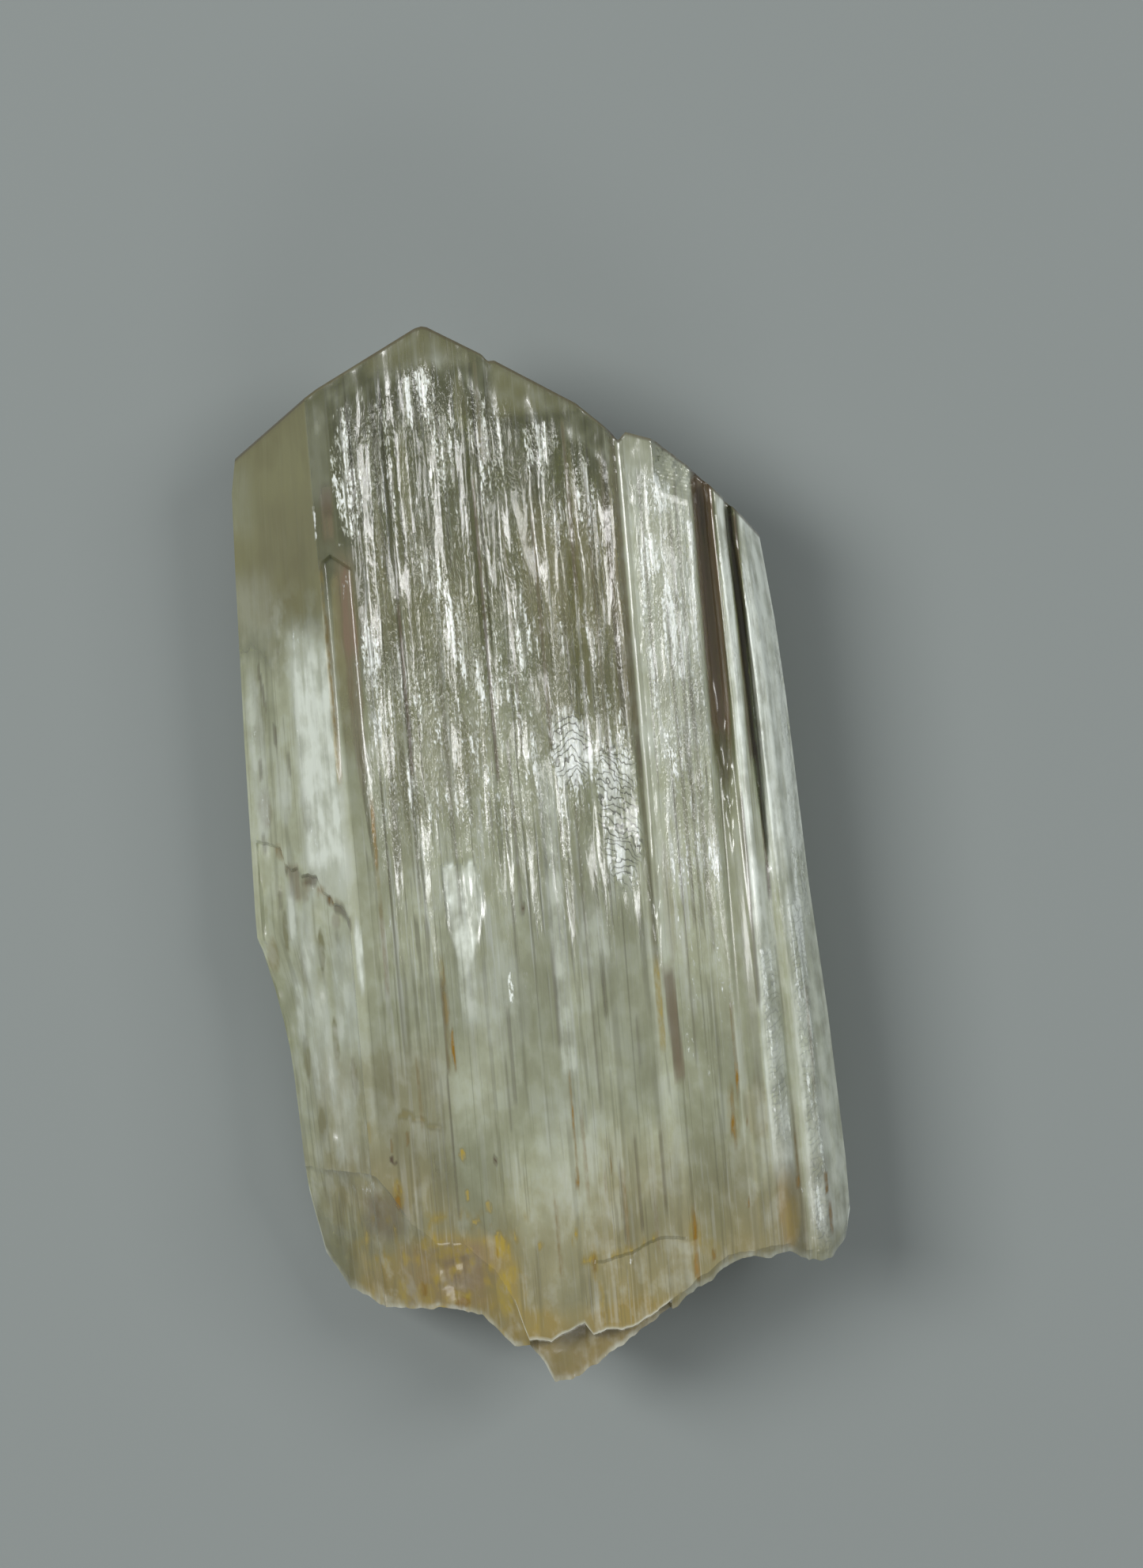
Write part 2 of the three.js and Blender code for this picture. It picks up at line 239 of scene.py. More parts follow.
@dataclass(frozen=True)
class Blade:
    """The sizes and surfaces of the crystal.

    Leans are for each millimetre of depth, but break_lean is over the whole thickness. The sides of the
    pit are (y, x) points. The other points are (x, y) or (station, depth or height).
    """

    thickness: float = 7.4
    half_width: float = 10.75
    core: float = 7.05
    prism_slope: float = 1.0575
    left_foot: float = -7.9
    right_foot: float = 7.2
    right_back: float = 3.7
    roof_lean: float = 0.368
    break_lean: float = 1.6
    break_rough: float = 0.5
    thinnest: float = 0.9
    step: float = 0.14
    rounding: float = 0.07
    trough_depth: float = 0.24
    pit_depth: float = 0.12
    ripple_depth: float = 0.03
    wave_depth: float = 0.04
    flake_depth: float = 0.35
    ledge_depth: float = 0.13
    chip_depth: float = 0.5
    worn_depth: float = 0.09
    break_slope: float = 0.6
    break_step: float = 0.15
    wedge_slope: float = 0.3
    wedge_step: float = 0.9
    right_slope: float = 0.9
    break_seed: int = 17
    ripple_seed: int = 18
    striation_seed: int = 19
    knob_seed: int = 41
    rounds: int = 8
    left_edge: Points = (
        (-12, -9.6), (-8, -9.75), (-5.6, -9.9), (-4.3, -10.15), (-2.8, -10.6), (-2.4, -10.75), (-1.4, -10.75),
        (5, -10.6), (11, -10.4), (14.5, -10.25), (15.8, -10),
    )
    right_edge: Points = (
        (-14.5, 10.75), (-12.5, 10.75), (-7, 10.55), (-2, 10.25), (5, 10), (8, 9.82), (11.25, 9.5),
    )
    roof: Line = Line((
        (-10, 15.8), (-6.6, 17.95), (-2.75, 19.9), (-2.5, 19.95), (-2.3, 19.9), (-0.35, 18.72),
        (-0.15, 18.45), (0.1, 18.45), (3, 16.6), (4.2, 15.45), (4.45, 15.1), (4.75, 15.38), (5.8, 15),
        (7.05, 13.9), (9.5, 11.25),
    ))
    root: Line = Line((
        (-9.6, -12), (-9.2, -14.6), (-8.4, -16), (-7, -16.65), (-4.9, -16.75), (-3.4, -17.15), (-2.3, -18.3),
        (-1.7, -18.3), (-1.2, -19.1), (-0.9, -19.86), (0, -19.78), (1.3, -18.95), (4.2, -17.1), (6, -15.95),
        (6.5, -15.75), (7.5, -15.85), (8.3, -15.7), (9, -16.15), (9.9, -16.15), (10.5, -15.6), (10.75, -14.5),
    ), 0.14, 15)
    knee: Line = Line((
        (-10.75, -10.9), (-6.9, -11.5), (-6.35, -12.3), (-5.75, -13.4), (-4.9, -14.1), (-3.85, -14.3),
        (-2.75, -15.4), (-2.1, -16.6), (-1.85, -17.6), (-1.7, -18.1), (-0.9, -18.15), (0.4, -17.6),
        (0.7, -18.05), (2.2, -17.9), (3.15, -17.4), (3.85, -16.95), (6, -15.55), (7.5, -15.45), (8.3, -15.35),
        (9, -15.75), (9.9, -15.75), (10.5, -15.1), (10.75, -14.1),
    ), 0.1, 11)
    ledge: Line = Line((
        (-10.75, -9), (-6.35, -9.6), (-3.85, -10.2), (-1.85, -13.5), (0.5, -15.4), (2.4, -15.1), (3.5, -14.6),
        (4.6, -14.8), (7.15, -13.6), (10.75, -12),
    ), 0.1, 12)
    flake: Line = Line((
        (-10.75, 1.5), (-9.9, 1.05), (-9.5, 0.95), (-9.4, 0.35), (-8.9, 0.25), (-8.8, -0.05), (-8.2, -0.2),
        (-8.05, -0.75), (-7.7, -0.85), (-7.6, -1.3), (-7.2, -1.45), (-7.05, -1.9), (-5.35, -1.2),
        (-3.45, -0.1), (10.75, -0.1),
    ), 0.22, 13)
    trough_top: Line = Line((
        (-7.05, 11.5), (-6.6, 11.75), (-5.9, 11.2), (3.85, 12.3), (5.9, 13.2), (7.2, 12.6), (9.9, 10.2),
    ), 0.05, 14)
    striations: Points = (
        (-7.05, 0), (-6.9, 0), (-6.35, 0.02), (-6.15, 0.03), (-5.75, 0.02), (-5.35, 0.16), (-4.9, 0.03),
        (-4.4, 0.08), (-4.15, 0.26), (-3.85, 0.06), (-3.2, 0), (-2.75, 0.14), (-2.3, 0.02), (-1.7, 0.1),
        (-1.3, 0.04), (-1.05, 0.3), (-0.75, 0.1), (-0.25, 0.28), (0.15, 0.08), (0.7, 0.2), (1.05, 0.34),
        (1.35, 0.12), (1.95, 0.08), (2.4, 0.4), (2.7, 0.16), (3.15, 0.12), (3.5, 0.3), (3.85, 0.14),
        (4.05, 0.1),
    )
    shoulder: Points = (
        (4.05, 0.1), (4.75, 0.1), (5.6, 0), (6.3, 0.2), (6.95, 0.45), (7.15, 0.8), (7.9, 0.85), (8.05, 0.7),
        (8.35, 0.7), (8.7, 0.95), (8.85, 1.15), (9.2, 1.15), (9.3, 1), (9.85, 1.35), (10.05, 1.8),
        (10.4, 2.3), (10.75, 3.1),
    )
    back_steps: Points = (
        (-5.35, 0), (-4.9, 0.25), (-4.15, 0.3), (-3.85, 0), (-2.3, 0), (-1.7, 0.3), (-1.3, 0.3), (-1.05, 0),
        (1.35, 0), (1.95, 0.25), (2.7, 0.3), (3.15, 0), (4.75, 0), (5.2, 0.4), (5.6, 0.4), (6.3, 0),
    )
    pit_left: Points = (
        (-4.4, -2.98), (-3.6, -3.12), (-2.6, -3.3), (-1.4, -3.38), (-0.15, -3.42),
    )
    pit_right: Points = (
        (-4.4, -2.9), (-3.8, -2.7), (-3.1, -2.36), (-2.4, -2.2), (-1.6, -2.04), (-0.9, -2.1), (-0.15, -2.3),
    )
    grooves: tuple[Groove, ...] = (
        Groove(4.35, 0.27, 0.3, -6, 7), Groove(7.52, 0.5, 0.6, -1.5, 8), Groove(9.03, 0.25, 0.7, -2.5, 5),
    )

    def across(self, station: Array, y: Array) -> Array:
        """Places a station across the blade.

        Args:
            station: Stations, which equal x in the middle of the blade.
            y: Places along the blade.

        Returns:
            x, drawn in on the flanks as the side edges are.
        """
        outward = (np.abs(station) - self.core) / (self.half_width - self.core)
        edge = np.where(station < 0, along(self.left_edge, y), along(self.right_edge, y))
        flank = np.sign(station) * self.core * (1 - outward) + edge * outward
        return np.where(outward <= 0, station, flank)

    def crossing(self, line: Line, station: Array) -> Array:
        """Gives the place along the blade where each station crosses a line.

        Args:
            line: The line.
            station: Stations across the blade.

        Returns:
            Places along the blade.
        """
        y = line.at(station)
        for _ in range(self.rounds):
            y = line.at(self.across(station, y))
        return y

    def below(self, line: Line, x: Array, y: Array) -> Array:
        """Is 1 below a line by more than a step's width, and 0 above the line."""
        return smoothstep(line.at(x) - y, 0, self.step)

    def grown_drop(self, station: Array, y: Array) -> Array:
        """Gives how far striations, ribs and grooves lie below the broad face.

        Args:
            station: Stations across the blade.
            y: Places along the blade.

        Returns:
            Depths in millimetres.
        """
        middle = softly(self.striations, station, self.rounding) * smoothstep(y, -7, 5)
        middle = middle * (0.15 + 0.85 * smoothstep(self.roof.at(station) - y, 0, 3.4))
        middle = middle * (0.65 + 0.7 * Grain(self.striation_seed).at(2 * station + 40, 0.6 * y + 40))
        side = softly(self.shoulder, station, self.rounding)
        side = side * (1 - 0.65 * (1 - smoothstep(y, -7, 3)) * (1 - smoothstep(station, 7.3, 9.2)))
        for groove in self.grooves:
            side = side + groove.drop(station, y)
        return np.where(station < self.shoulder[0][0], middle, side)

    def lost_drop(self, x: Array, y: Array) -> Array:
        """Gives how far the trough, pit, flake, ledge and chip lie below what had grown.

        Args:
            x: Places across the blade.
            y: Places along the blade.

        Returns:
            Depths in millimetres.
        """
        trough = within(x, -6.85, -5.95, 0.2) * self.below(self.trough_top, x, y)
        lost = self.trough_depth * trough * smoothstep(y, 1.5, 7.5)
        grain = Grain(self.ripple_seed)
        ripples = self.ripple_depth * grain.scallops(2.6 * x + 1.2 * y + 20, 4.4 * y - 2.6 * x + 60)
        lost = lost + (self.pit_depth * smoothstep(y, -4, -0.5) + ripples) * self.pit_share(x, y)
        waves = self.waves(x, y) + 0.5 * grain.scallops(3.3 * x + 50, 2.7 * y + 50)
        under_roof = within(self.roof.at(x) - y, 0.25, 1, 0.5)
        lost = lost + self.wave_depth * waves * under_roof * within(x, -6.9, 9, 0.3)
        flaked = self.flake_depth * self.below(self.flake, x, y) * (1 + 0.4 * unevenness(2 * x, y))
        lost = lost + np.where(x < -self.core, flaked, 0)
        lost = lost + self.ledge_depth * within(x, 1.2, 4.2, 0.9) * self.below(self.ledge, x, y)
        chip = np.clip((y - self.trough_top.at(x) + self.step) / 1.3, 0, 1) * within(x, 5.9, 7, 0.25)
        return lost + self.chip_depth * chip * (1 + 0.35 * unevenness(6 * x, 7 * y))

    def waves(self, x: Array, y: Array) -> Array:
        """Gives the larger of the waves under the roof, from 0 in a dish to 1 on a ridge."""
        return Grain(self.ripple_seed).scallops(1.5 * x + 30, 1.3 * y + 30)

    def pit_share(self, x: Array, y: Array) -> Array:
        """Is 1 inside the leaf-shaped pit and 0 outside it.

        Args:
            x: Places across the blade.
            y: Places along the blade.

        Returns:
            Shares from 0 to 1.
        """
        left = softly(self.pit_left, y, 0.3) + 0.03 * unevenness(0.3 * x, 4 * y)
        right = softly(self.pit_right, y, 0.3) + 0.06 * unevenness(0.3 * x, 5 * y)
        top = -0.25 + 0.14 * unevenness(5 * x, 0.2 * y)
        sides = smoothstep(x - left, -0.1, 0) * (1 - smoothstep(x - right, 0, 0.14))
        return sides * within(y, -4.4, top, 0.12)

    def lumps(self, station: Array, y: Array) -> Array:
        """Gives the small knobs in a row along the outer edge of the shoulder."""
        knobs = Grain(self.knob_seed).broken(3.9 * station, 2.9 * y) ** 2
        return knobs * (0.16 * within(station, 9.9, 10.5, 0.12) + 0.07 * within(station, 9.15, 9.8, 0.12))

    def broken_drop(self, x: Array, y: Array) -> Array:
        """Gives how far the break at the root lies below the broad face.

        Args:
            x: Places across the blade.
            y: Places along the blade.

        Returns:
            Depths in millimetres.
        """
        past = np.maximum(0, self.knee.at(x) - y)
        step = self.below(self.knee, x, y)
        grain = Grain(self.break_seed)
        sizes = ((0.2, 0.75, 5, 0.9, 40), (0.04, 2.1, 9, 2.4, 90), (0.015, 4.6, 9, 4.1, 90))
        dished = step * sum(size * grain.scallops(a * x + at, b * y + up) for size, a, at, b, up in sizes)
        edge = self.break_step * step * (1 - smoothstep(x, -6.6, -5.6))
        slant = edge + self.break_slope * past + dished * smoothstep(past, 0, 0.9)
        wedge = self.wedge_step * step + self.wedge_slope * past + 0.12 * dished
        share = smoothstep(x, -2.4, -1.3)
        return np.where(x < 3.7, slant + (wedge - slant) * share, self.right_slope * past)

    def back_height(self, station: Array, x: Array) -> Array:
        """Gives the height of the back face.

        Args:
            station: Stations across the blade.
            x: The stations' places across the blade.

        Returns:
            Heights in millimetres.
        """
        left = self.prism_slope * (self.left_foot - x)
        right = (station - self.right_foot) / (self.half_width - self.right_foot) * self.right_back
        return np.maximum(np.maximum(0, left), np.maximum(right, along(self.back_steps, station)))

    def front_height(self, station: Array, x: Array, y: Array) -> Array:
        """Gives the height of the front face.

        Args:
            station: Stations across the blade.
            x: The stations' places across the blade.
            y: Places along the blade.

        Returns:
            Heights in millimetres.
        """
        flank = self.prism_slope * np.maximum(0, -self.core - x)
        lost = self.lost_drop(x, y) + self.broken_drop(x, y) + self.lumps(station, y)
        worn = self.worn_depth * np.clip(1 - (self.roof.at(x) - y) / self.step, 0, 1) ** 2
        height = self.thickness - self.grown_drop(station, y) - flank - lost - worn
        edge = np.minimum(self.thinnest, 0.5 + 2 * (self.half_width - np.abs(station)))
        return np.maximum(height, self.back_height(station, x) + edge)


# ---- The skin ----


def write(mesh: bpy.types.Mesh, title: str, values: Array) -> None:
    """Writes one value for each vertex to an attribute of a mesh."""
    mesh.attributes.new(title, "FLOAT", "POINT").data.foreach_set("value", values.astype(np.float32))


@dataclass
class Skin:
    """The crystal's closed outer surface as one mesh.

    Attributes:
        blade: The form that it follows.
        pitch: Width of a column on the front, in millimetres.
        rows: Rows on the front between each of the blade's lines and the next.
        extra_columns: Stations that also get a column, besides the corners of the profiles.
        back_columns: Columns on the back.
        back_rows: Rows on the back.
        layers: Layers through the thickness, around the sides and both ends.
        dishes: Depth, fineness across, fineness in depth and place of each size of dish on the break.
        seed: Seed of the dishes.
        corners: The points so far.
        faces: The faces so far.
    """

    blade: Blade
    pitch: float = 0.068
    rows: tuple[int, ...] = (22, 26, 46, 50, 32)
    extra_columns: tuple[float, ...] = (
        -9.9, -9, -8, -6.6, -5.9, -3.45, -2.5, -2.1, -1.85, -0.9, 0.4, 4.35, 7.52,
    )
    back_columns: int = 210
    back_rows: int = 50
    layers: int = 20
    dishes: Rows = ((0.5, 0.55, 0.5, 20), (0.2, 1.3, 1.2, 30), (0.09, 3.1, 2.7, 40))
    seed: int = 21
    corners: list[Array] = field(default_factory=list)
    faces: list[list[int]] = field(default_factory=list)

    def stations(self) -> Array:
        """Gives the front's columns, with one on every corner of the blade's profiles.

        Returns:
            Stations in rising order.
        """
        blade = self.blade
        marks = {point[0] for line in (blade.striations, blade.shoulder) for point in line}
        ordered = sorted(marks | {-blade.half_width, *self.extra_columns})
        columns: list[float] = []
        for low, high in zip(ordered, ordered[1:]):
            parts = max(1, round((high - low) / self.pitch))
            columns += [low + (high - low) * part / parts for part in range(parts)]
        return np.array(columns + [blade.half_width])

    def front_places(self, station: Array) -> Array:
        """Gives the place along the blade of every front row, for each station.

        Args:
            station: Stations across the blade.

        Returns:
            y, stations by rows.
        """
        blade = self.blade
        lines = (blade.root, blade.knee, blade.ledge, blade.flake, blade.trough_top, blade.roof)
        crossed = [blade.crossing(line, station) for line in lines]
        places = []
        for low, high, count in zip(crossed, crossed[1:], self.rows):
            shares = np.linspace(0, 1, count + 1)
            places.append(low[:, None] + (high - blade.step - low)[:, None] * shares[None, :])
        places.append(crossed[-1][:, None] - np.array([[0.5, 0.2, 0]]) * blade.step)
        return np.concatenate(places, axis=1)

    def back_ends(self, station: Array) -> list[Array]:
        """Gives where the back face starts and ends, drawn in by the leaning root and roof.

        Args:
            station: Stations across the blade.

        Returns:
            y at the root and y at the roof.
        """
        blade = self.blade
        ends = []
        for line, lean in ((blade.root, blade.break_lean / blade.thickness), (blade.roof, -blade.roof_lean)):
            y = blade.crossing(line, station)
            x = blade.across(station, y)
            ends.append(y + lean * (blade.front_height(station, x, y) - blade.back_height(station, x)))
        return ends

    def back_point(self, station: Array, share: Array) -> Array:
        """Gives points of the back face.

        Args:
            station: Their stations.
            share: Their places along the blade, 0 at the root and 1 at the roof.

        Returns:
            One point a row.
        """
        low, high = self.back_ends(station)
        y = low + (high - low) * share
        x = self.blade.across(station, y)
        return np.stack([x, y, self.blade.back_height(station, x)], axis=-1)

    def add(self, points: Array) -> Array:
        """Adds points to the mesh.

        Args:
            points: Points, with x, y and z last.

        Returns:
            Their numbers, in the points' own layout.
        """
        start = sum(len(part) for part in self.corners)
        self.corners.append(points.reshape(-1, 3))
        return np.arange(start, start + self.corners[-1].shape[0]).reshape(points.shape[:-1])

    def fill(self, grid: Array, turned: bool) -> None:
        """Covers a grid of vertex numbers with quads.

        Args:
            grid: The numbers.
            turned: Whether its faces look the other way.
        """
        quads = np.stack([grid[:-1, :-1], grid[1:, :-1], grid[1:, 1:], grid[:-1, 1:]], axis=-1)
        self.faces += quads[..., :: -1 if turned else 1].reshape(-1, 4).tolist()

    def zip_rows(self, long: Array, short: Array) -> None:
        """Joins two rows of vertices that run side by side, whatever their numbers, with triangles.

        Args:
            long: Vertex numbers of one row.
            short: Vertex numbers of the other.
        """
        i = j = 0
        last_i, last_j = len(long) - 1, len(short) - 1
        while i < last_i or j < last_j:
            if j == last_j or (i < last_i and (i + 1) * last_j <= (j + 1) * last_i):
                self.faces.append([int(long[i]), int(short[j]), int(long[i + 1])])
                i += 1
            else:
                self.faces.append([int(long[i]), int(short[j]), int(short[j + 1])])
                j += 1

    def surround(self, front: Array, back: Array, front_points: Array, station: Array) -> None:
        """Closes the sides, the roof and the root between the two broad faces.

        Args:
            front: Vertex numbers of the front, columns by rows.
            back: Vertex numbers of the back.
            front_points: The front's points.
            station: The front's stations.
        """
        along_blade = front_points[..., 1]
        shares = (along_blade - along_blade[:, :1]) / (along_blade[:, -1:] - along_blade[:, :1])
        count, height = front.shape
        rim = [(c, 0) for c in range(count)] + [(count - 1, r) for r in range(1, height)]
        rim += [(c, height - 1) for c in range(count - 2, -1, -1)]
        rim += [(0, r) for r in range(height - 2, 0, -1)]
        columns, rows = np.array(rim).T
        high = front_points[columns, rows]
        low = self.back_point(station[columns], shares[columns, rows])
        rough = (rows == 0) & (columns > 0) & (columns < count - 1)
        grain = Grain(self.seed)
        rings = [front[columns, rows]]
        for layer in range(1, self.layers):
            share = layer / self.layers
            bulge = np.sin(np.pi * share)
            ring = high + (low - high) * share
            across, deep = ring[:, 0], ring[:, 2]
            swell = self.blade.break_rough * bulge
            ring[:, 1] += rough * swell * (1 + 0.6 * unevenness(across, 1.3 * deep))
            dished = (size * grain.scallops(a * across + at, b * deep + at) for size, a, b, at in self.dishes)
            ring[:, 1] += rough * bulge**0.6 * sum(dished)
            rings.append(self.add(ring))
        numbers = np.array(rings).T
        self.fill(np.concatenate([numbers, numbers[:1]]), False)
        inner = numbers[:, -1]
        stops = (0, count - 1, count + height - 2, 2 * count + height - 3, len(inner))
        closed = np.append(inner, inner[0])
        sides = (back[:, 0], back[-1, :], back[::-1, -1], back[0, ::-1])
        for start, stop, side in zip(stops, stops[1:], sides):
            self.zip_rows(closed[start : stop + 1][::-1], side[::-1])

    def build(self, name: str) -> bpy.types.Object:
        """Makes the mesh object.

        Args:
            name: The object's name.

        Returns:
            The object, linked to the scene, with its station kept as an attribute.
        """
        blade = self.blade
        station = self.stations()
        y = self.front_places(station)
        wide = np.repeat(station[:, None], y.shape[1], axis=1)
        x = blade.across(wide, y)
        front_points = np.stack([x, y, blade.front_height(wide, x, y)], axis=-1)
        back_station = np.linspace(-blade.half_width, blade.half_width, self.back_columns + 1)
        shares = np.linspace(0, 1, self.back_rows + 1)
        grid = np.repeat(back_station[:, None], len(shares), axis=1)
        front, back = self.add(front_points), self.add(self.back_point(grid, shares[None, :]))
        self.fill(front, False)
        self.fill(back, True)
        self.surround(front, back, front_points, station)
        points = np.concatenate(self.corners)
        mesh = bpy.data.meshes.new(name)
        mesh.from_pydata((points * MM).tolist(), [], self.faces)
        mesh.validate()
        side, places = np.zeros(len(points)), points[:, 0].copy()
        for numbers, sign, stations in ((front, 1, wide), (back, -1, grid)):
            side[numbers.ravel()] = sign
            places[numbers.ravel()] = stations.ravel()
        for title, values in (("side", side), ("station", places)):
            write(mesh, title, values)
        made = bpy.data.objects.new(name, mesh)
        bpy.context.scene.collection.objects.link(made)
        return made


# ---- What colours the skin ----


class Tint(Enum):
    """What colour a mark on the skin paints. Most tints are colours of the substance and its stains; the
    bright tint is painted glints and highlights, and a few dark, milky and pale marks are painted shade or
    painted highlights.
    """

    MILK = "milk"
    OLIVE = "olive"
    STAIN = "stain"
    DARK = "dark"
    # Painted glints and highlights.
    PAINTED_GLINT = "painted_glint"
    PALE = "pale"
    HONEY = "honey"
    ROSE = "rose"
    SCALES = "scales"
    YELLOW = "yellow"


class Where(Enum):
    """Where a layer of marks shows."""

    THROUGH = "through the crystal"
    FRONT = "on the broad front face"
    BACK = "on the back"


@dataclass(frozen=True)
class Mark:
    """A patch or streak of one tint, drawn out along the blade.

    Attributes:
        left: Its left side.
        right: Its right side.
        low: Its lower end.
        high: Its upper end.
        soft: How far its sides fade.
        fade: How far its ends fade, fibre by fibre.
        strength: How strong it is, up to 1.
        slant: How far it leans to the right for each millimetre up.
    """

    left: float
    right: float
    low: float
    high: float
    soft: float
    fade: float
    strength: float
    slant: float = 0.0

    def amount(self, x: Array, y: Array, ragged: Array) -> Array:
        """Gives the mark's strength at each point.

        Args:
            x: Places across the blade.
            y: Places along the blade.
            ragged: Unevenness of the fibres, from -1 to 1.

        Returns:
            Values from 0 to the mark's strength.
        """
        shifted = x - self.slant * (y - 0.5 * (self.low + self.high))
        sides = self.strength * within(shifted, self.left, self.right, self.soft)
        return sides * within(y + 0.25 * self.fade * ragged, self.low, self.high, self.fade)


@dataclass(frozen=True)
class Patch:
    """A rounded patch of one tint with a ragged outline.

    Attributes:
        x: Its middle across the blade.
        y: Its middle along the blade.
        wide: Half its width.
        high: Half its height.
        strength: How strong it is, up to 1.
        slant: How far it leans to the right for each millimetre up.
    """

    x: float
    y: float
    wide: float
    high: float
    strength: float
    slant: float = 0.0

    def amount(self, x: Array, y: Array, ragged: Array) -> Array:
        """Gives the patch's strength at each point, as a mark does.

        Args:
            x: Places across the blade.
            y: Places along the blade.
            ragged: Unevenness of the fibres, from -1 to 1.

        Returns:
            Values from 0 to the patch's strength.
        """
        off_x = (x - self.x - self.slant * (y - self.y)) / self.wide
        off_y = (y - self.y) / self.high
        return self.strength * smoothstep(1.15 + 0.45 * ragged - off_x**2 - off_y**2, 0, 0.6)


def thread(x: float, low: float, high: float, width: float, strength: float) -> Mark:
    """Makes the mark of a thin line along the blade."""
    return Mark(x - width / 2, x + width / 2, low, high, 0.05, 0.5, strength)


@dataclass(frozen=True)
class Layer:
    """What one tint paints in one place, as rows of numbers.

    Attributes:
        tint: The tint.
        where: Where it shows.
        marks: The values of each Mark.
        patches: The values of each Patch.
        threads: The values of each thread: x, low end, high end, width and strength.
    """

    tint: Tint
    where: Where
    marks: Rows = ()
    patches: Rows = ()
    threads: Rows = ()

    def made(self) -> list[Mark | Patch]:
        """Makes the layer's marks, patches and threads."""
        kinds = ((Mark, self.marks), (Patch, self.patches), (thread, self.threads))
        return [make(*row) for make, rows in kinds for row in rows]


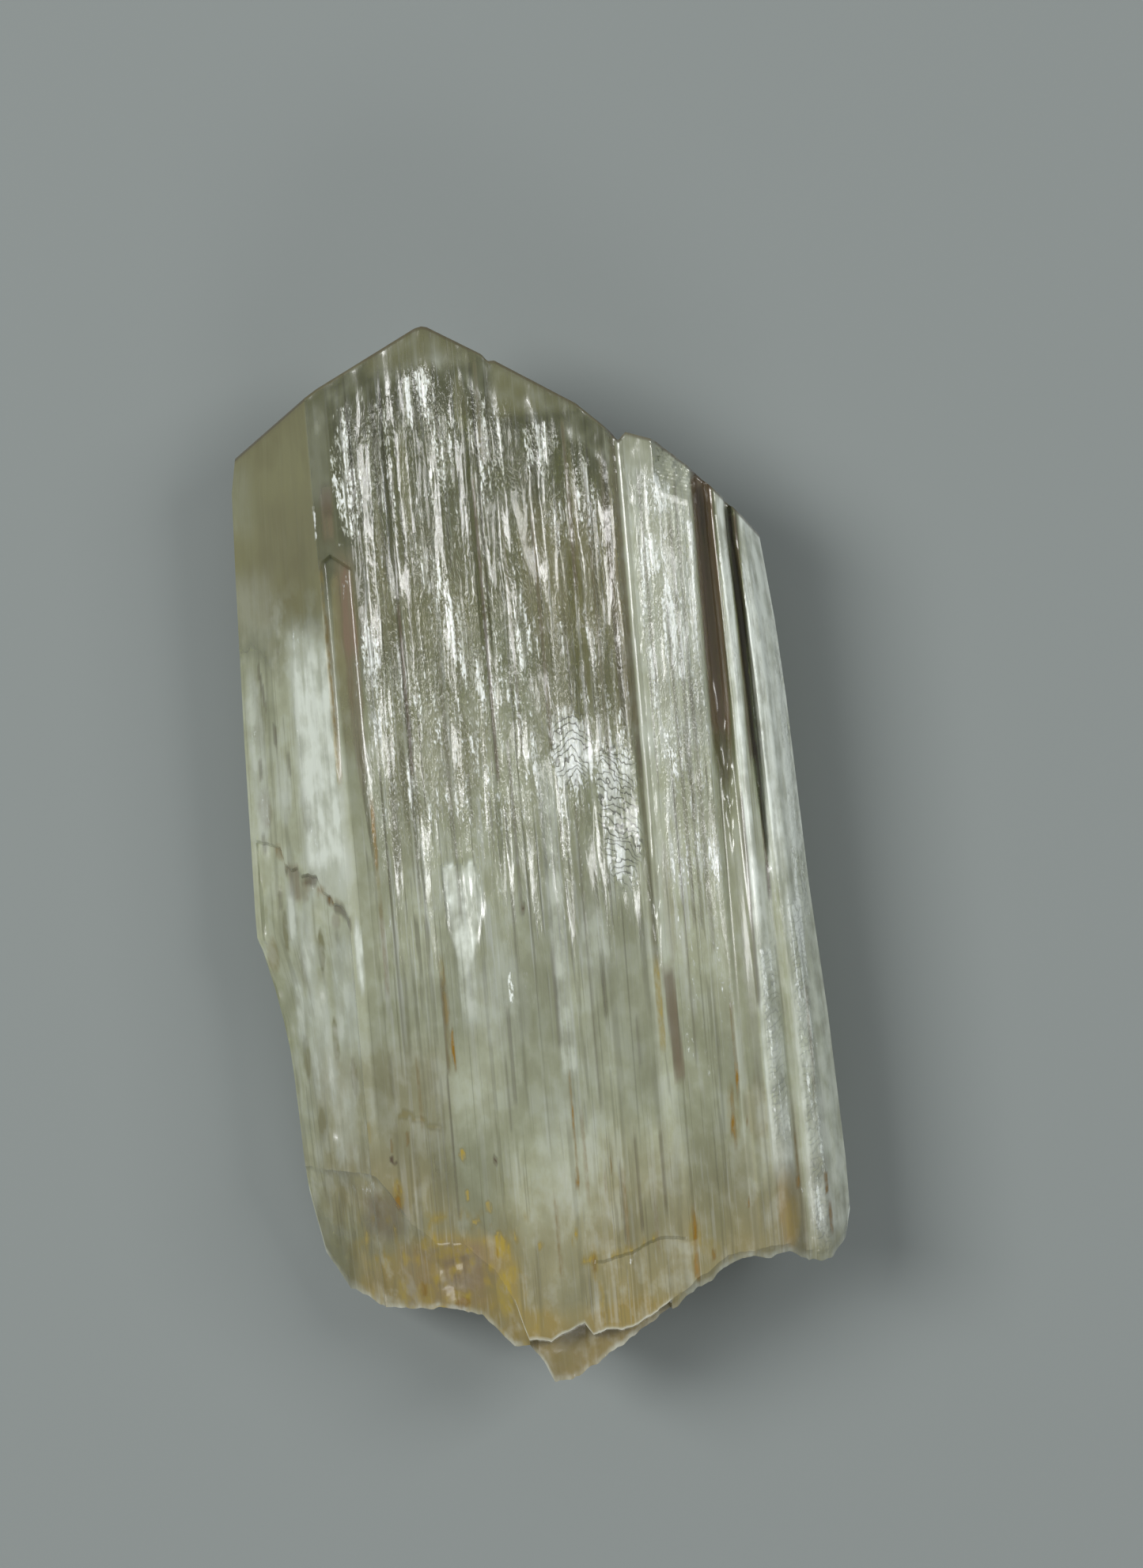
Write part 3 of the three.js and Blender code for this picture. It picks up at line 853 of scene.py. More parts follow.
@dataclass(frozen=True)
class Tints:
    """Where each tint lies on the crystal, as seen from the front.

    Attributes:
        seeds: Seeds of the fibres, of the clouds and of torn edges.
        layers: What is painted.
    """

    seeds: tuple[int, int, int] = (31, 32, 33)
    layers: tuple[Layer, ...] = (
        Layer(Tint.OLIVE, Where.THROUGH, marks=(
            (-11, -7.1, 11, 19, 0.05, 3.2, 0.95), (-11, -8.2, 9, 12, 0.6, 1.8, 0.3),
            (-7.1, -6.3, 11.9, 18.5, 0.1, 0.3, 0.2), (-4.4, -1, 18.6, 20.2, 0.6, 0.5, 0.5),
            (0.2, 3.6, 16.6, 18.6, 0.5, 0.5, 0.5), (-9, -2.4, -18.5, -14.5, 1, 1.5, 0.3),
            # The last mark here is the tip's olive colour, made stronger as painted shade where dark shows
            # through it.
            (-8.6, -4.6, -12, -8, 0.8, 1.5, 0.22), (-2.4, 4.5, -20.5, -18, 0.5, 0.6, 0.8),
        ), patches=(
            (-8.36, 2.3, 0.2, 1, 0.9), (-9.6, -2.2, 0.12, 0.8, 0.8), (-9, -3.6, 0.12, 0.7, 0.8),
            (-8, -6.4, 0.12, 0.9, 0.8), (-9.2, -7, 0.15, 0.9, 0.7), (-7.4, -7.8, 0.12, 0.8, 0.7),
            (-8.8, -9.6, 0.15, 0.7, 0.6), (-7.6, -2.8, 0.1, 0.6, 0.6), (-10, 2.6, 0.3, 0.8, 0.5),
            (-8.26, -3, 0.12, 0.9, 0.9), (-9.9, 6.4, 0.3, 1.6, 0.3), (-9, 8, 0.4, 1, 0.3),
            (-5.6, -9.3, 0.35, 0.13, 0.7), (-5.1, -9.55, 0.35, 0.13, 0.8), (-4.55, -9.85, 0.35, 0.13, 0.7),
        )),
        Layer(Tint.HONEY, Where.THROUGH, marks=(
            (-11, -5.5, -20, -12.5, 2, 3.5, 0.35), (-8.6, -4.4, -12.5, -7.8, 1, 2, 0.3),
            (-4, 8, -20.5, -14, 1.5, 3, 0.15), (-7.5, -2.6, -18, -15.2, 1.2, 2, 0.7),
            (-6.2, -3, -17.5, -14.4, 0.5, 0.8, 0.3), (-1.8, 4.5, -20.5, -17.6, 0.8, 1, 0.45),
            (-4, 10, -20.5, -15.5, 1.5, 3.5, 0.35), (2, 8, -17, -12, 1.5, 2.5, 0.2),
        ), patches=(
            (-3.9, -14.9, 1.2, 0.8, 0.3, 1), (-2.6, -15.6, 0.5, 1.4, 0.3),
            (8.4, -13.9, 0.5, 1.7, 0.45), (7.5, -10.2, 0.5, 1.3, 0.3), (-6.5, 7.5, 0.35, 3.6, 0.4),
            (-10.2, -3.1, 0.25, 0.7, 0.5),
        )),
        Layer(Tint.MILK, Where.THROUGH, marks=(
            (-8.9, -7.1, 0.5, 8.4, 0.5, 3.2, 1), (-11, -8.9, 1, 7, 0.4, 3, 0.75),
            (-11, -6.9, -11, 1, 0.3, 5, 0.85), (-11, -6.5, -20.5, -11, 0.3, 4, 0.12),
            (7, 7.9, -17, 0.5, 0.1, 4, 0.7), (-7, 4.2, -17, 3, 0.6, 5, 0.45),
            (-1.5, 4.5, -17.5, -12, 0.6, 2.5, 0.3), (-6.9, 4.2, -16, 6, 0.6, 9, 0.28),
            (4, 7, -2, 14.5, 0.15, 6, 0.5), (4, 7, -17, 14.5, 0.15, 1.5, 0.5),
            (4.9, 7, -12.5, -3, 0.4, 3, 0.12), (7.9, 8.3, 2, 13.2, 0.08, 1.5, 1),
            (8.7, 11, 2, 12.5, 0.08, 1.5, 1), (7.9, 11, -17, 2, 0.1, 2, 0.9),
        ), patches=(
            (7.4, -11.5, 0.5, 2.5, 0.2),
        )),
        Layer(Tint.OLIVE, Where.FRONT, marks=(
            (4.05, 4.3, 4.5, 14.8, 0.1, 1.5, 0.6), (4.15, 4.3, -4, 4.5, 0.06, 1.5, 0.5),
        ), patches=(
            (6.1, 10.9, 0.4, 0.9, 0.4), (5.3, 5.6, 0.35, 1, 0.35), (6.5, 4.6, 0.25, 1.4, 0.35),
            (0.6, 11, 0.25, 2.6, 0.5), (-4.7, 11.6, 0.2, 2.4, 0.5), (-3.6, 14, 0.2, 2.4, 0.5),
            (-1.3, 17, 0.25, 1.2, 0.5), (2.6, 13, 0.15, 2.4, 0.6), (-2.4, 3.6, 0.9, 1.6, 0.3),
            (-4.6, 1.6, 0.8, 2.2, 0.3), (1.7, -1.6, 0.5, 2, 0.25), (9.2, 9.6, 0.12, 0.7, 0.5),
            (9.35, 7.2, 0.1, 0.5, 0.5), (9.3, 4.8, 0.12, 0.8, 0.45), (9.5, 10, 0.12, 0.6, 0.5),
            (9.55, 3.2, 0.1, 0.7, 0.45),
        )),
        # Painted glints and highlights on the front: bright streaks and patches where light would catch the
        # surface.
        Layer(Tint.PAINTED_GLINT, Where.FRONT, marks=(
            (-8.5, -7.15, 0, 8.5, 0.5, 1.5, 0.3), (-6.2, 4, 3, 18, 0.3, 7, 0.3),
            (-5.5, 4, -4, 4, 0.3, 7, 0.12), (-5.6, 4, 2.5, 7.5, 0.3, 2.5, 0.19),
            (-6, 4, 13.5, 17.5, 0.3, 1.5, 0.07), (5, 6.9, -1, 13, 0.2, 1.5, 0.5),
            (5, 6.9, -8, -1, 0.2, 1.5, 0.35), (8.75, 10.2, -4, 12, 0.2, 1, 0.4),
            (9.7, 10, -8, 9, 0.1, 1, 0.4), (8.1, 8.65, -11, -4.5, 0.1, 1, 0.5),
            (9.3, 9.8, -15, -3, 0.15, 1, 0.4),
        ), patches=(
            (-2.8, 17.2, 0.7, 1.3, 0.75), (-5.7, 14.7, 0.6, 2.6, 0.5), (-4.5, 14.8, 0.5, 2.4, 0.2),
            (-2.1, 15.2, 0.4, 1.7, 0.4), (1.6, 15.3, 0.8, 1.3, 0.45), (3.1, 15.6, 0.6, 0.9, 0.4),
            (-0.5, 15.2, 0.7, 2.8, 0.25), (-2.5, 9.3, 0.6, 3.6, 0.5, -0.33), (-5.4, 8, 0.4, 1.3, 0.5),
            (0.3, 8.3, 0.25, 1.6, 0.45), (1.95, 12.2, 0.35, 1.2, 0.6), (3.1, 12.9, 0.4, 1.7, 0.5),
            (5.65, 13.2, 0.6, 1.1, 0.9), (5.3, 10.6, 0.35, 0.9, 0.5), (4.95, 8, 0.16, 4.5, 0.7),
            (6.75, 9.5, 0.3, 3.2, 0.7), (6, 7.8, 0.6, 2, 0.7), (5.6, 3.6, 0.4, 1.6, 0.4),
            (-7.3, -12, 0.8, 0.3, 0.6), (1.5, 4.5, 0.5, 0.8, 1), (2.1, 3.4, 0.4, 1.3, 1),
            (1.3, 3.1, 0.35, 0.8, 0.8), (2.9, 3.3, 0.35, 0.8, 0.15), (3.5, 2, 0.5, 1.3, 0.12),
            (3.05, -0.3, 0.35, 0.9, 1), (3.6, -1.4, 0.2, 0.6, 0.6), (-1.28, -5, 0.14, 0.8, 0.8),
            (8.07, 9, 0.22, 4.6, 1), (8.95, 8.5, 0.28, 4, 1), (6.5, 13.7, 0.7, 0.7, 0.5),
            (9.3, -13.8, 0.5, 1, 0.35), (-7.08, 13, 0.05, 1, 0.9), (-10, 4.5, 0.3, 4, 0.35),
            (2.4, -15.35, 0.1, 0.3, 0.7, 0.6),
        )),
        Layer(Tint.SCALES, Where.FRONT, marks=(
            (8.15, 8.65, -11, -4.5, 0.12, 1, 0.7), (9.4, 9.8, -15, -3, 0.12, 1, 0.7),
            (9.75, 10.1, -3, 9, 0.12, 1, 0.6),
        ), patches=(
            (1.7, 3.7, 0.8, 1.6, 1), (3.3, 1.2, 0.85, 2.9, 1),
        )),
        Layer(Tint.HONEY, Where.FRONT, marks=(
            (7.1, 7.7, 4.5, 13, 0.08, 1.5, 0.45), (1, 3.9, 5.5, 11.5, 0.7, 3, 0.22),
            (-5.2, -1.5, 4, 9, 0.7, 3, 0.12), (-5.5, 3.8, 9, 11.5, 0.5, 2, 0.1),
        )),
        Layer(Tint.PALE, Where.FRONT, marks=(
            (-3.1, -2.6, -5.6, -3.2, 0.15, 1.2, 0.4), (0.4, 0.9, -8, 2.5, 0.12, 1.2, 0.4),
            (4.42, 4.7, 4, 14.6, 0.1, 2, 0.35), (4.45, 4.8, -4, 4, 0.1, 2, 0.25),
            (-7.06, -6.9, 4, 11.3, 0.04, 0.4, 0.3), (-8.3, -7.15, 0.6, 7.4, 0.5, 2.6, 0.74),
            (-9.4, -9.2, -2.3, -0.9, 0.12, 0.9, 0.6), (-9, -8.6, -3.4, -2, 0.15, 1.2, 0.55),
            (-7.8, -7.2, -6, -3.3, 0.2, 1.6, 0.5), (-8.9, -8.3, -7.6, -5, 0.25, 1.6, 0.5),
            (-9.4, -9.2, -5.8, -4.4, 0.15, 1, 0.55), (-8.2, -7.6, -10, -8.3, 0.25, 1.6, 0.35),
            (7.95, 8.25, -2, 13, 0.06, 1.5, 0.95), (7.95, 8.7, -12, -2, 0.1, 1.5, 0.68),
            (8.75, 9.2, -1, 12, 0.06, 1.5, 0.95), (9.3, 10.9, 1, 12.4, 0.3, 3, 0.45),
            (-11, -9.8, 13.4, 14.8, 0.6, 1.2, 0.1), (-11, -9.4, 8.8, 10.4, 0.8, 1.6, 0.2),
            (-7.05, -6.4, 13.9, 17, 0.08, 0.6, 0.18), (9.3, 10.9, -14.5, 12.4, 0.3, 1.5, 0.62),
            (4.9, 6.95, 4, 14.2, 0.2, 1.5, 0.3), (-4.5, 3.8, -8, -1, 1, 3, 0.1),
        ), patches=(
            (-6.8, -3.25, 0.16, 1.5, 0.75), (-10.1, 4.5, 0.35, 4, 0.5), (-9.2, 3.2, 0.3, 1.4, 0.45),
            (0.4, -11, 1.2, 2.6, 0.25), (-1.6, -5.5, 1, 2.4, 0.25), (2, -3.6, 0.7, 1.6, 0.3),
        )),
        Layer(Tint.ROSE, Where.FRONT, marks=(
            (-6.4, -5.85, 8.5, 11.3, 0.25, 1, 0.5), (-6.75, -6.45, 12.7, 13.8, 0.15, 0.9, 0.6),
            (3.75, 4.2, 5.5, 12.5, 0.15, 1.5, 0.4), (1, 3.6, 6, 12, 0.6, 2, 0.1),
            (7.08, 7.75, 4.5, 13.2, 0.06, 1, 0.95), (8, 8.9, -15.3, -10.5, 0.15, 1.2, 0.3),
            (-7.1, -6.3, -13.4, -12.7, 0.8, 0.9, 0.55), (-6, -3.4, -16.6, -14.6, 0.5, 0.6, 0.35),
            (4.5, 4.85, -8.6, -4.95, 0.06, 0.5, 0.75, -0.03), (-9.3, -8.92, -0.9, 0.15, 0.05, 0.3, 0.6),
            (9.3, 9.9, -14.4, -12.4, 0.2, 0.8, 0.4), (9.6, 10, -11.2, -10, 0.15, 0.6, 0.3),
        ), patches=(
            (-6.12, 7.2, 0.32, 4.2, 0.6), (7.4, 3.6, 0.33, 2, 0.5), (-3.6, -15.2, 1.2, 1, 0.3),
            (4.85, -2.2, 0.2, 2.4, 0.3), (-8.7, -0.7, 0.2, 0.4, 0.4), (-7.6, -1.9, 0.2, 0.4, 0.4),
            (-10, 2.4, 0.25, 0.7, 0.4),
        )),
        Layer(Tint.DARK, Where.FRONT, marks=(
            (7.15, 7.7, 7.5, 13.1, 0.1, 3, 0.36), (7.1, 7.75, -8, 4, 0.1, 3, 0.12),
            (8.38, 8.62, 3, 11.9, 0.04, 0.4, 0.9), (4.15, 4.28, 3.5, 14.8, 0.08, 1.5, 0.45),
            (-8.9, -7.15, 11.9, 13.4, 0.8, 1.4, 0.17), (4.15, 4.3, -4, 3.5, 0.05, 0.8, 0.35),
            (-6.65, -6.4, 13.5, 14.1, 0.15, 0.5, 0.6), (-7, -6.4, -13.3, -12.7, 0.7, 0.8, 0.2),
            # The first mark here darkens the tip: painted shade where dark shows through the clear tip.
            (-1.9, 3.6, -20.5, -18.2, 0.3, 0.4, 0.14), (4.5, 4.8, -8.2, -4.95, 0.06, 0.4, 0.3, -0.03),
        ), patches=(
            (-9.7, 7, 0.06, 1.2, 0.6, -0.1), (-9.35, 5.2, 0.08, 0.5, 0.6), (-10.05, 4, 0.08, 0.4, 0.5),
            (-8.9, 4.2, 0.06, 0.5, 0.4), (-9.7, -1, 0.08, 0.5, 0.4), (-10.15, 1.2, 0.1, 0.5, 0.4),
            (-6.25, -10.95, 0.09, 0.13, 1.5), (-6.1, -11.08, 0.1, 0.05, 1.2),
            (-2.45, -11.22, 0.06, 0.08, 1.4), (-2.35, -11.35, 0.07, 0.06, 1.2), (-0.55, -2.1, 0.09, 0.1, 1.6),
            (3.2, 0.1, 0.09, 0.09, 1.4),
        ), threads=(
            (5.08, 6, 13.6, 0.05, 0.4), (5.75, -3, 8.5, 0.05, 0.45), (6.12, 1, 12, 0.05, 0.4),
            (6.4, -4, 5.5, 0.06, 0.35), (5.4, -8, 2, 0.05, 0.4), (3.1, 3, 14, 0.05, 0.5),
            (3.75, 6, 14.6, 0.06, 0.4), (-2.9, -2, 7.5, 0.05, 0.4), (-5.1, 6, 12, 0.05, 0.4),
            (1.7, -9.5, 1.5, 0.05, 0.4), (8.67, -2.2, 3.2, 0.08, 0.85), (7.9, -6.2, 1.2, 0.12, 0.6),
            (-4.25, 3.5, 9.5, 0.07, 0.85), (-1.07, 3, 14, 0.07, 0.85), (-0.62, -2, 4, 0.06, 0.6),
            (-0.65, 15, 18.3, 0.07, 0.6), (-0.1, 4, 12, 0.05, 0.6), (2.42, 10, 15.7, 0.08, 0.8),
            (1, 4, 12.5, 0.06, 0.75), (-3.85, -7.6, -4.6, 0.07, 0.7), (-3.92, -13, -8.2, 0.04, 0.5),
            (2.2, -6, -4.8, 0.06, 0.5), (0.35, -7, -4, 0.07, 0.45), (-1.45, -9, -6, 0.07, 0.45),
            (-1.7, -10, -7.8, 0.06, 0.4), (3.8, -13.4, -11, 0.07, 0.5), (2.85, -14.2, -11, 0.05, 0.5),
            (2.2, -14.5, -12, 0.05, 0.5), (3.3, -8, -6.6, 0.06, 0.4),
        )),
        Layer(Tint.STAIN, Where.FRONT, patches=(
            (-5.87, 1.1, 0.08, 1.5, 0.6), (-5.87, 1.6, 0.05, 0.5, 0.4), (-3.72, -5.4, 0.08, 1.6, 0.55),
            (-3.6, -7, 0.07, 0.9, 1), (0.62, -10, 0.05, 0.4, 0.6), (0.58, -12.3, 0.05, 0.3, 0.6),
            (6.85, -8.85, 0.07, 0.45, 1.1), (6.53, -10.85, 0.07, 0.35, 0.8), (7.07, -10.8, 0.06, 0.15, 0.6),
            (8.81, -13.1, 0.06, 0.3, 1.1), (9.87, -13.3, 0.08, 0.45, 1.2), (9.95, -14.6, 0.06, 0.8, 0.8),
            (4.8, -14.5, 0.12, 0.5, 0.9), (4.74, -15.9, 0.08, 0.5, 0.9), (5.42, -15.5, 0.06, 0.3, 0.7),
            (6.89, -13.75, 0.06, 0.14, 0.8), (1.62, -12.4, 0.05, 0.3, 0.6),
            (1.88, -11.9, 0.05, 0.3, 0.7), (-6.16, -12.55, 0.12, 0.26, 1.6), (-6.1, -12.1, 0.05, 0.2, 0.8),
            (-6.2, -10.4, 0.05, 0.3, 0.6), (-2.62, -14.75, 0.05, 0.2, 0.5), (-4.1, -16.6, 0.3, 0.2, 0.8),
            (-5.5, -16, 0.12, 0.3, 0.6), (0.95, -15.5, 0.06, 0.5, 0.6), (-8.1, -0.75, 0.2, 0.15, 0.5),
            (-7.75, -1.15, 0.12, 0.15, 0.7), (-5.6, -10.2, 0.08, 0.3, 0.5),
        ), threads=(
            (-5.86, -4.5, -1.5, 0.06, 0.4), (-6.95, 3.5, 9.3, 0.06, 0.5), (0.62, -12.4, -8.6, 0.06, 0.6),
            (0.95, -12.8, -10, 0.05, 0.4), (6.84, -9.4, -6.5, 0.05, 0.5), (6.6, -11.3, -9.6, 0.06, 0.6),
            (8.84, -13, -11.6, 0.05, 0.5), (4.78, -16.2, -14, 0.08, 0.5), (2.3, -14.6, -12.4, 0.05, 0.5),
            (3.4, -15, -13.6, 0.05, 0.3), (-0.3, -15.6, -13, 0.05, 0.4), (-5, -9.6, -7.5, 0.05, 0.35),
            (9.75, -9.5, -6, 0.06, 0.35),
        )),
        Layer(Tint.YELLOW, Where.FRONT, marks=(
            (-2, 4, -16.5, -12.5, 1, 3, 0.12),
        ), patches=(
            (-6.1, -12.25, 0.22, 0.6, 0.7), (-7, -9.87, 0.1, 0.4, 0.4), (-3.6, -11, 0.13, 0.24, 1),
            (-3.55, -12.5, 0.1, 0.24, 0.9), (-2.78, -13, 0.14, 0.2, 0.9), (-3.3, -13.5, 0.2, 0.12, 0.8),
            (-2.5, -14.4, 0.16, 0.5, 1.6), (-2.5, -16.3, 0.3, 1, 0.9), (-2.2, -15.6, 0.3, 0.3, 0.5),
            (-4.3, -14.6, 0.7, 0.3, 0.6, 1), (-4.9, -15.3, 0.3, 0.5, 0.3), (-5.5, -16.2, 0.4, 0.5, 0.5),
            (-4.3, -16.4, 0.6, 0.3, 0.5), (-1, -14.6, 0.12, 0.2, 0.8), (0.3, -14.4, 0.16, 0.15, 0.9),
            (0.95, -15.4, 0.2, 0.8, 0.5), (1.1, -16.6, 0.12, 0.6, 0.5), (1.9, -15.05, 0.7, 0.12, 0.55, 1),
            (4.8, -14.6, 0.3, 0.7, 0.6), (4.75, -15.8, 0.15, 0.7, 0.6), (5.3, -15.2, 0.4, 0.4, 0.3),
            (6.6, -10.4, 0.25, 1.2, 0.3), (8.5, -14.5, 0.35, 0.9, 0.3),
        ), threads=(
            (4.22, -7.4, -4.6, 0.16, 0.75), (-3.8, -7.5, -3.9, 0.12, 0.5), (-5.87, -0.6, 2.4, 0.12, 0.35),
            (-7, 3.5, 11.2, 0.14, 0.55),
        )),
        # Painted glints on the back.
        Layer(Tint.PAINTED_GLINT, Where.BACK, marks=(
            (-7, 6.8, -4, 15, 0.5, 3, 0.3),
        ), patches=(
            (-3, 8, 0.8, 3, 0.5), (2.6, -1, 0.7, 2.4, 0.5), (5.6, 4, 0.4, 3, 0.5),
        )),
        Layer(Tint.DARK, Where.BACK, threads=(
            (-4.9, -6, 9, 0.08, 0.6), (0.9, 1, 12, 0.07, 0.6), (3.2, -9, 5, 0.08, 0.6),
        )),
        Layer(Tint.STAIN, Where.BACK, patches=(
            (-4.8, -12.5, 0.9, 1.1, 0.5), (3.4, -13, 0.6, 1, 0.5),
        ), threads=(
            (-2.4, -11, -3, 0.09, 0.8), (5.3, -10, -5, 0.08, 0.8),
        )),
    )

    def paint(self, made: bpy.types.Object, blade: Blade) -> None:
        """Writes each tint's strength, and that of the fine lines, to attributes of the mesh.

        Args:
            made: The skin.
            blade: Its form, which gives the edges of the roof, the root, the flake and the pit.
        """
        mesh = made.data
        count = len(mesh.vertices)
        spots, side = np.empty(3 * count, dtype=np.float32), np.empty(count, dtype=np.float32)
        mesh.vertices.foreach_get("co", spots)
        mesh.attributes["side"].data.foreach_get("value", side)
        x, y, z = spots.reshape(-1, 3).T.astype(float) / MM
        front, back = np.maximum(side, 0), np.maximum(-side, 0)
        fibres, clouds, tears = (Grain(seed) for seed in self.seeds)
        torn = tears.broken(3.6 * x, 1.9 * y)
        ragged = 0.4 * fibres.broken(5 * x, 0.25 * y) + 0.8 * clouds.broken(1.5 * x, 1.1 * y + 9)
        to_roof, from_root = blade.roof.at(x) - y, y - blade.root.at(x)
        patchy = 0.75 + 0.5 * clouds.at(0.9 * x, 0.35 * y)
        shown = {Where.THROUGH: patchy, Where.FRONT: front, Where.BACK: back}
        amounts = {tint: np.zeros_like(x) for tint in Tint}
        for layer in self.layers:
            for mark in layer.made():
                amounts[layer.tint] += mark.amount(x, y, ragged) * shown[layer.where]

        # Painted glints fade out just under the roof. The next two lines are a painted highlight: a bright,
        # milky rim along the broken root.
        amounts[Tint.PAINTED_GLINT] *= 0.05 + 0.95 * smoothstep(to_roof + 0.6 * ragged, 0.8, 2)
        amounts[Tint.PAINTED_GLINT] += 0.3 * front * (1 - smoothstep(from_root, 0.06, 0.14))
        amounts[Tint.MILK] += 0.6 * (1 - smoothstep(from_root, 0.05, 0.35))

        crust = smoothstep(torn, 0.1, 0.6) * within(x, -7.5, -2, 1) * within(y, -18, -13.5, 1)
        amounts[Tint.YELLOW] += 0.8 * front * crust
        at_ledge = within(y - blade.ledge.at(x), -0.1, 0, 0.06) * within(x, 0.4, 3.2, 0.3)
        amounts[Tint.YELLOW] += 0.8 * front * at_ledge * smoothstep(torn, -0.15, 0.35)

        flake = blade.flake.at(x)
        under = smoothstep(1 - np.abs(flake - 0.22 - y) / 0.55 + 0.9 * torn, 0.6, 1.2)
        amounts[Tint.DARK] += 0.7 * front * under * within(x, -9.75, -7.05, 0.1)
        # A dark line along the roof edge: painted shade where the rounded edge turns away.
        amounts[Tint.DARK] += 0.75 * front * (1 - smoothstep(to_roof, 0.06, 0.17))
        near = smoothstep(0.9 * ragged - np.abs(y + 0.2 - flake), -0.1, 0.3)
        amounts[Tint.STAIN] += 0.7 * front * near * within(x, -9.7, -7.05, 0.1)

        roof_face = (1 - front) * (1 - back) * smoothstep(y, 8.5, 10.5)
        amounts[Tint.OLIVE] += 0.65 * roof_face * (0.5 + 0.6 * clouds.at(0.8 * x, 0.9 * z + 50))
        pale = amounts[Tint.PALE]
        pale += 0.4 * roof_face * smoothstep(fibres.at(1.3 * x + 60, 3.5 * z + 60), 0.45, 0.95)
        # A paler, uneven band along the root's rim: painted highlight.
        pale += (0.35 + 0.7 * ragged) * front * (1 - smoothstep(from_root, 0.05, 0.3))
        # A pale line along the knee's edge: a painted highlight on the rounded edge.
        pale += 0.7 * front * within(y - blade.knee.at(x), -0.05, 0.05, 0.06) * within(x, -2, 3.6, 0.2)
        # Paler on the ridges of the waves under the roof: painted sheen.
        shelf = blade.waves(x, y) * within(to_roof, 0.3, 1.3, 0.5)
        pale += 0.4 * front * shelf * within(x, -6.6, 4, 0.3)
        ripple = Grain(blade.ripple_seed).scallops(3 * x - 1.8 * y + 20, 3.4 * y + 2 * x + 60)
        ripple = (0.5 + 0.45 * ripple) * front * blade.pit_share(x, y)
        pale += ripple * (0.25 + 0.75 * smoothstep(y, -4, -2.6))

        for tint, amount in amounts.items():
            write(mesh, tint.value, np.clip(amount, 0, 1))
        rough = front * (0.05 + 0.95 * smoothstep(y, -8, 6)) * smoothstep(x, -6.4, -5.8)
        rough *= 1 - 0.9 * within(x, -7.1, -5.8, 0.1) * smoothstep(y, 2, 6)
        rough *= (1 - within(x, 7.1, 7.8, 0.1)) * (1 - within(x, 4.15, 4.5, 0.1))
        rough *= 1 - 0.7 * smoothstep(x, 7, 8)
        rough *= 0.1 + 0.9 * smoothstep(to_roof + 0.5 * ragged, 0.8, 2.2)
        write(mesh, "striated", rough + 0.6 * back * within(x, -7.2, 7, 0.3))


# ---- Finishes ----


@dataclass
class Bench:
    """A node tree and the short calls that fill it."""

    tree: bpy.types.NodeTree

    def node(self, kind: str, sockets: Sockets | None = None, **settings: object) -> bpy.types.Node:
        """Adds a node with its settings, and fills its sockets.

        Args:
            kind: The node's type.
            sockets: A value or another node's output for each input that is filled.
            settings: The node's own settings.

        Returns:
            The node.
        """
        made = self.tree.nodes.new(kind)
        for key, value in settings.items():
            setattr(made, key, value)
        for key, value in (sockets or {}).items():
            if isinstance(value, Socket):
                self.tree.links.new(value, made.inputs[key])
            else:
                made.inputs[key].default_value = value
        return made

    def maths(self, operation: str, a: object, b: object = 0, clamp: bool = False) -> Socket:
        """Adds a Math node and returns its result."""
        return self.node("ShaderNodeMath", {0: a, 1: b}, operation=operation, use_clamp=clamp).outputs[0]

    def chain(self, operation: str, first: object, *others: object, clamp: bool = False) -> Socket:
        """Works a Math operation through its parts in order.

        Args:
            operation: The operation.
            first: The first part.
            others: The parts after it.
            clamp: Whether the last result is held to 0 to 1.

        Returns:
            The result.
        """
        for number, other in enumerate(others, 1):
            first = self.maths(operation, first, other, clamp and number == len(others))
        return first

    def times(self, *parts: object, clamp: bool = False) -> Socket:
        """Multiplies its parts."""
        return self.chain("MULTIPLY", *parts, clamp=clamp)

    def plus(self, *parts: object) -> Socket:
        """Adds its parts."""
        return self.chain("ADD", *parts)

    def most(self, *parts: object, clamp: bool = False) -> Socket:
        """Gives the greatest of its parts."""
        return self.chain("MAXIMUM", *parts, clamp=clamp)

    def from_middle(self, level: Socket) -> Socket:
        """Gives how far a noise is from its middle value."""
        return self.maths("ABSOLUTE", self.maths("SUBTRACT", level, 0.5))

    def span(self, value: object, low: float, high: float, *to: float) -> Socket:
        """Maps a value from the span low to high to another, or to 0 to 1, held at both ends."""
        sockets = dict(enumerate((value, low, high, *(to or (0, 1)))))
        return self.node("ShaderNodeMapRange", sockets, clamp=True).outputs[0]

    def coats(self, colour: object, *coats: tuple[object, object]) -> Socket:
        """Mixes coats into a colour, one after the other.

        Args:
            colour: The colour underneath.
            coats: The share and the colour of each coat.

        Returns:
            The mixed colour.
        """
        for share, coat in coats:
            colour = self.node("ShaderNodeMix", {0: share, 6: colour, 7: coat}, data_type="RGBA").outputs[2]
        return colour

    def named(self, title: str) -> Socket:
        """Reads one of the mesh's attributes, in a material or in geometry nodes.

        Args:
            title: The attribute's name.

        Returns:
            Its value.
        """
        if self.tree.type == "GEOMETRY":
            made = self.node("GeometryNodeInputNamedAttribute", {"Name": title}, data_type="FLOAT")
            return next(socket for socket in made.outputs if socket.enabled and socket.name == "Attribute")
        return self.node("ShaderNodeAttribute", attribute_name=title).outputs["Fac"]

    def noise(self, where: Socket, scale: tuple[float, float, float], detail: float) -> Socket:
        """Adds a noise stretched by a scale along each axis, and returns its value."""
        stretch = self.node("ShaderNodeVectorMath", {0: where, 1: scale}, operation="MULTIPLY").outputs[0]
        return self.node("ShaderNodeTexNoise", {"Vector": stretch, "Scale": 1, "Detail": detail}).outputs[0]


